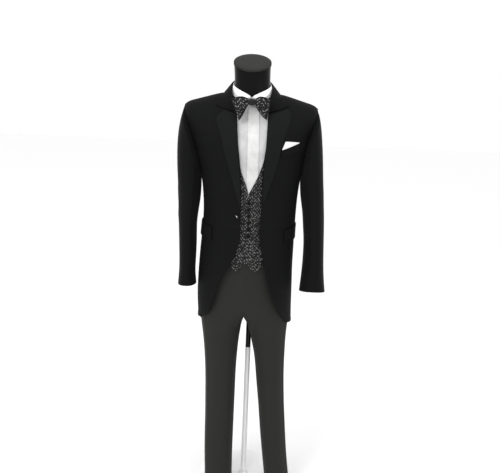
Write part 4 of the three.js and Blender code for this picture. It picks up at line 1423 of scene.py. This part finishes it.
@dataclass
class Studio:
    """Pale floor, soft lights and the camera."""

    floor_size: float = 14.0
    air: float = 1.0
    paper: Colour = (0.97, 0.97, 0.97)

    def build(self) -> None:
        """Sets up the floor, lights, sky and camera."""
        self._floor()
        self._lamp("key", (-1.5, -2.0, 3.0), (0.0, 0.0, 1.05), 1.3, 34.0)
        self._lamp("fill", (2.2, -2.4, 1.9), (0.0, 0.0, 1.0), 2.0, 5.0)
        self._lamp("top", (0.2, -0.5, 3.2), (0.0, 0.0, 1.4), 1.0, 12.0)
        world = bpy.data.worlds.new("studio_air")
        bpy.context.scene.world = world
        world.use_nodes = True
        sky = world.node_tree.nodes["Background"]
        sky.inputs[0].default_value = (1.0, 1.0, 1.0, 1.0)
        sky.inputs[1].default_value = self.air
        bpy.context.scene.view_settings.view_transform = "Standard"
        self._camera()

    def _floor(self) -> None:
        """Plain pale floor."""
        half = self.floor_size / 2
        paper = Shade("floor_paper", Roughness=0.8, Base_Color=(*self.paper, 1.0))
        corners = [(-half, -half, 0), (half, -half, 0), (half, half, 0), (-half, half, 0)]
        new_piece("floor", corners, [(0, 1, 2, 3)], paper.material)

    def _lamp(self, name: str, place: Place, aim: Place, size: float,
              power: float) -> None:
        """Adds a soft square lamp."""
        data = bpy.data.lights.new(name, "AREA")
        data.size = size
        data.energy = power
        turn = (Vector(aim) - Vector(place)).to_track_quat("-Z", "Y").to_matrix().to_4x4()
        placed(name, data).matrix_world = Matrix.Translation(place) @ turn

    def _camera(self) -> None:
        """Camera where the photographer stood."""
        data = bpy.data.cameras.new("photo_camera")
        data.sensor_fit = "HORIZONTAL"
        data.sensor_width = 36.0
        data.lens = FOCAL_PIXELS * data.sensor_width / IMAGE_WIDTH
        camera = placed("photo_camera", data)
        pitch = Matrix.Rotation(math.radians(90 - CAMERA_PITCH), 4, "X")
        roll = Matrix.Rotation(math.radians(CAMERA_ROLL), 4, "Z")
        place = Matrix.Translation(Vector(CAMERA_PLACE) * MM)
        camera.matrix_world = place @ pitch @ roll
        bpy.context.scene.camera = camera


def clothing(frame: dict) -> None:
    """Makes everything that is sewn, in order from the form outwards.

    Args:
        frame: The loaded frame.
    """
    nodes = frame["nodes"]

    def line(*names: str) -> Chart:
        """Chart through some nodes."""
        return Chart.through([nodes[name] for name in names])

    body = line("form_torso")
    sleeves = {side: line(f"coat_topsleeve_{side.value}", f"coat_undersleeve_{side.value}") for side in Side}
    legs = {side: line(f"trouser_front_{side.value}", f"trouser_back_{side.value}") for side in Side}
    coat_wool = WoolFinish("coat_wool", (0.0022, 0.0023, 0.0024), (0.0048, 0.005, 0.0052), gloss=0.1).build()
    # Lighter copy of the coat wool for the lapels: painted light where the lapels catch more light
    facing = WoolFinish("lapel_wool_painted_light", (0.003, 0.0033, 0.0034), (0.0062, 0.0066, 0.0068), gloss=0.13).build()
    coat_thread = WoolFinish("coat_thread", (0.012, 0.012, 0.014), (0.022, 0.022, 0.025), sheen=0.05).build()
    horn = HardFinish("dark_horn", (0.002, 0.002, 0.002), 0.3, coat=0.02, grain=160.0, gloss=0.1).build()
    zigzag = SilkFinish("waistcoat_silk").build()
    lining = SatinFinish("waistcoat_lining", (0.011, 0.011, 0.012)).build()
    trouser_wool = WoolFinish("trouser_wool", (0.012, 0.012, 0.0112), (0.023, 0.023, 0.0215), stripe=0.0066,
                              gloss=0.15).build()
    cotton = CottonFinish("shirt_cotton", (0.88, 0.88, 0.885), (0.82, 0.82, 0.83)).build()
    # Darker grey copy of the white shirting for the bib: painted shade
    bib_cotton_painted_shade = CottonFinish("shirt_bib_painted_shade", (0.56, 0.56, 0.565), (0.42, 0.42, 0.425)).build()
    # Grey copy of the white shirting for the placket: painted shade
    strip = CottonFinish("shirt_placket_painted_shade", (0.66, 0.66, 0.655), (0.52, 0.52, 0.515)).build()
    linen = CottonFinish("pocket_linen", (0.8, 0.8, 0.79), (0.7, 0.7, 0.69), thread=0.0008).build()
    bow_silk = SilkFinish("bow_silk", edged=True).build()
    bow_plain = SatinFinish("bow_black", (0.0035, 0.0035, 0.0038)).build()
    black = (0.0028, 0.0028, 0.0028)
    gloss = HardFinish("form_gloss", black, 0.22, coat=0.02, grain=18.0, gloss=0.08).build()
    grey = HardFinish("cap_grey", (0.0092, 0.0094, 0.0083), 0.5, grain=40.0, gloss=0.16).build()
    steel = HardFinish("stand_steel", (1.0, 1.0, 1.0), 0.34, grain=30.0, gloss=0.8).build()
    # Black enamel for the upper pole: its own colour, and also painted shade for the dark strip between the
    # legs
    black_and_shade = HardFinish("stand_black_and_shade", (0.004, 0.004, 0.004), 0.3, grain=30.0, gloss=0.2).build()
    paint = HardFinish("stand_base", (0.9, 0.9, 0.9), 0.42, grain=24.0, gloss=0.3).build()
    trims = Trims()
    coat = Coat(coat_wool, facing, coat_thread, horn, body, sleeves)
    DressForm(gloss, grey, body).build(frame)
    Stand(steel, black_and_shade, paint).build(frame)
    ShirtFront(cotton, bib_cotton_painted_shade, strip, body).build(frame)
    BowTie(bow_silk, bow_plain, body).build(frame)
    Trousers(trouser_wool, legs, body).build(frame)
    Waistcoat(zigzag, lining, coat_thread, horn, body).build(frame, trims)
    coat.build(frame, trims)
    place_button(frame, "coat_button", horn)
    # Bright metal bar on the coat's button: a painted highlight for the button's glint
    PaintedGlint(HardFinish("painted_glint_metal", (0.62, 0.62, 0.6), 0.25, metal=0.6, grain=200.0).build()).build(frame)
    PocketSquare(linen, body, coat.chest_shaping()).build(frame)


def main() -> None:
    """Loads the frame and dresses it."""
    logging.basicConfig(level=logging.INFO, format="%(message)s")
    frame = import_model()
    clothing(frame)
    Studio().build()
    bpy.context.view_layer.update()


if __name__ == "__main__":
    main()
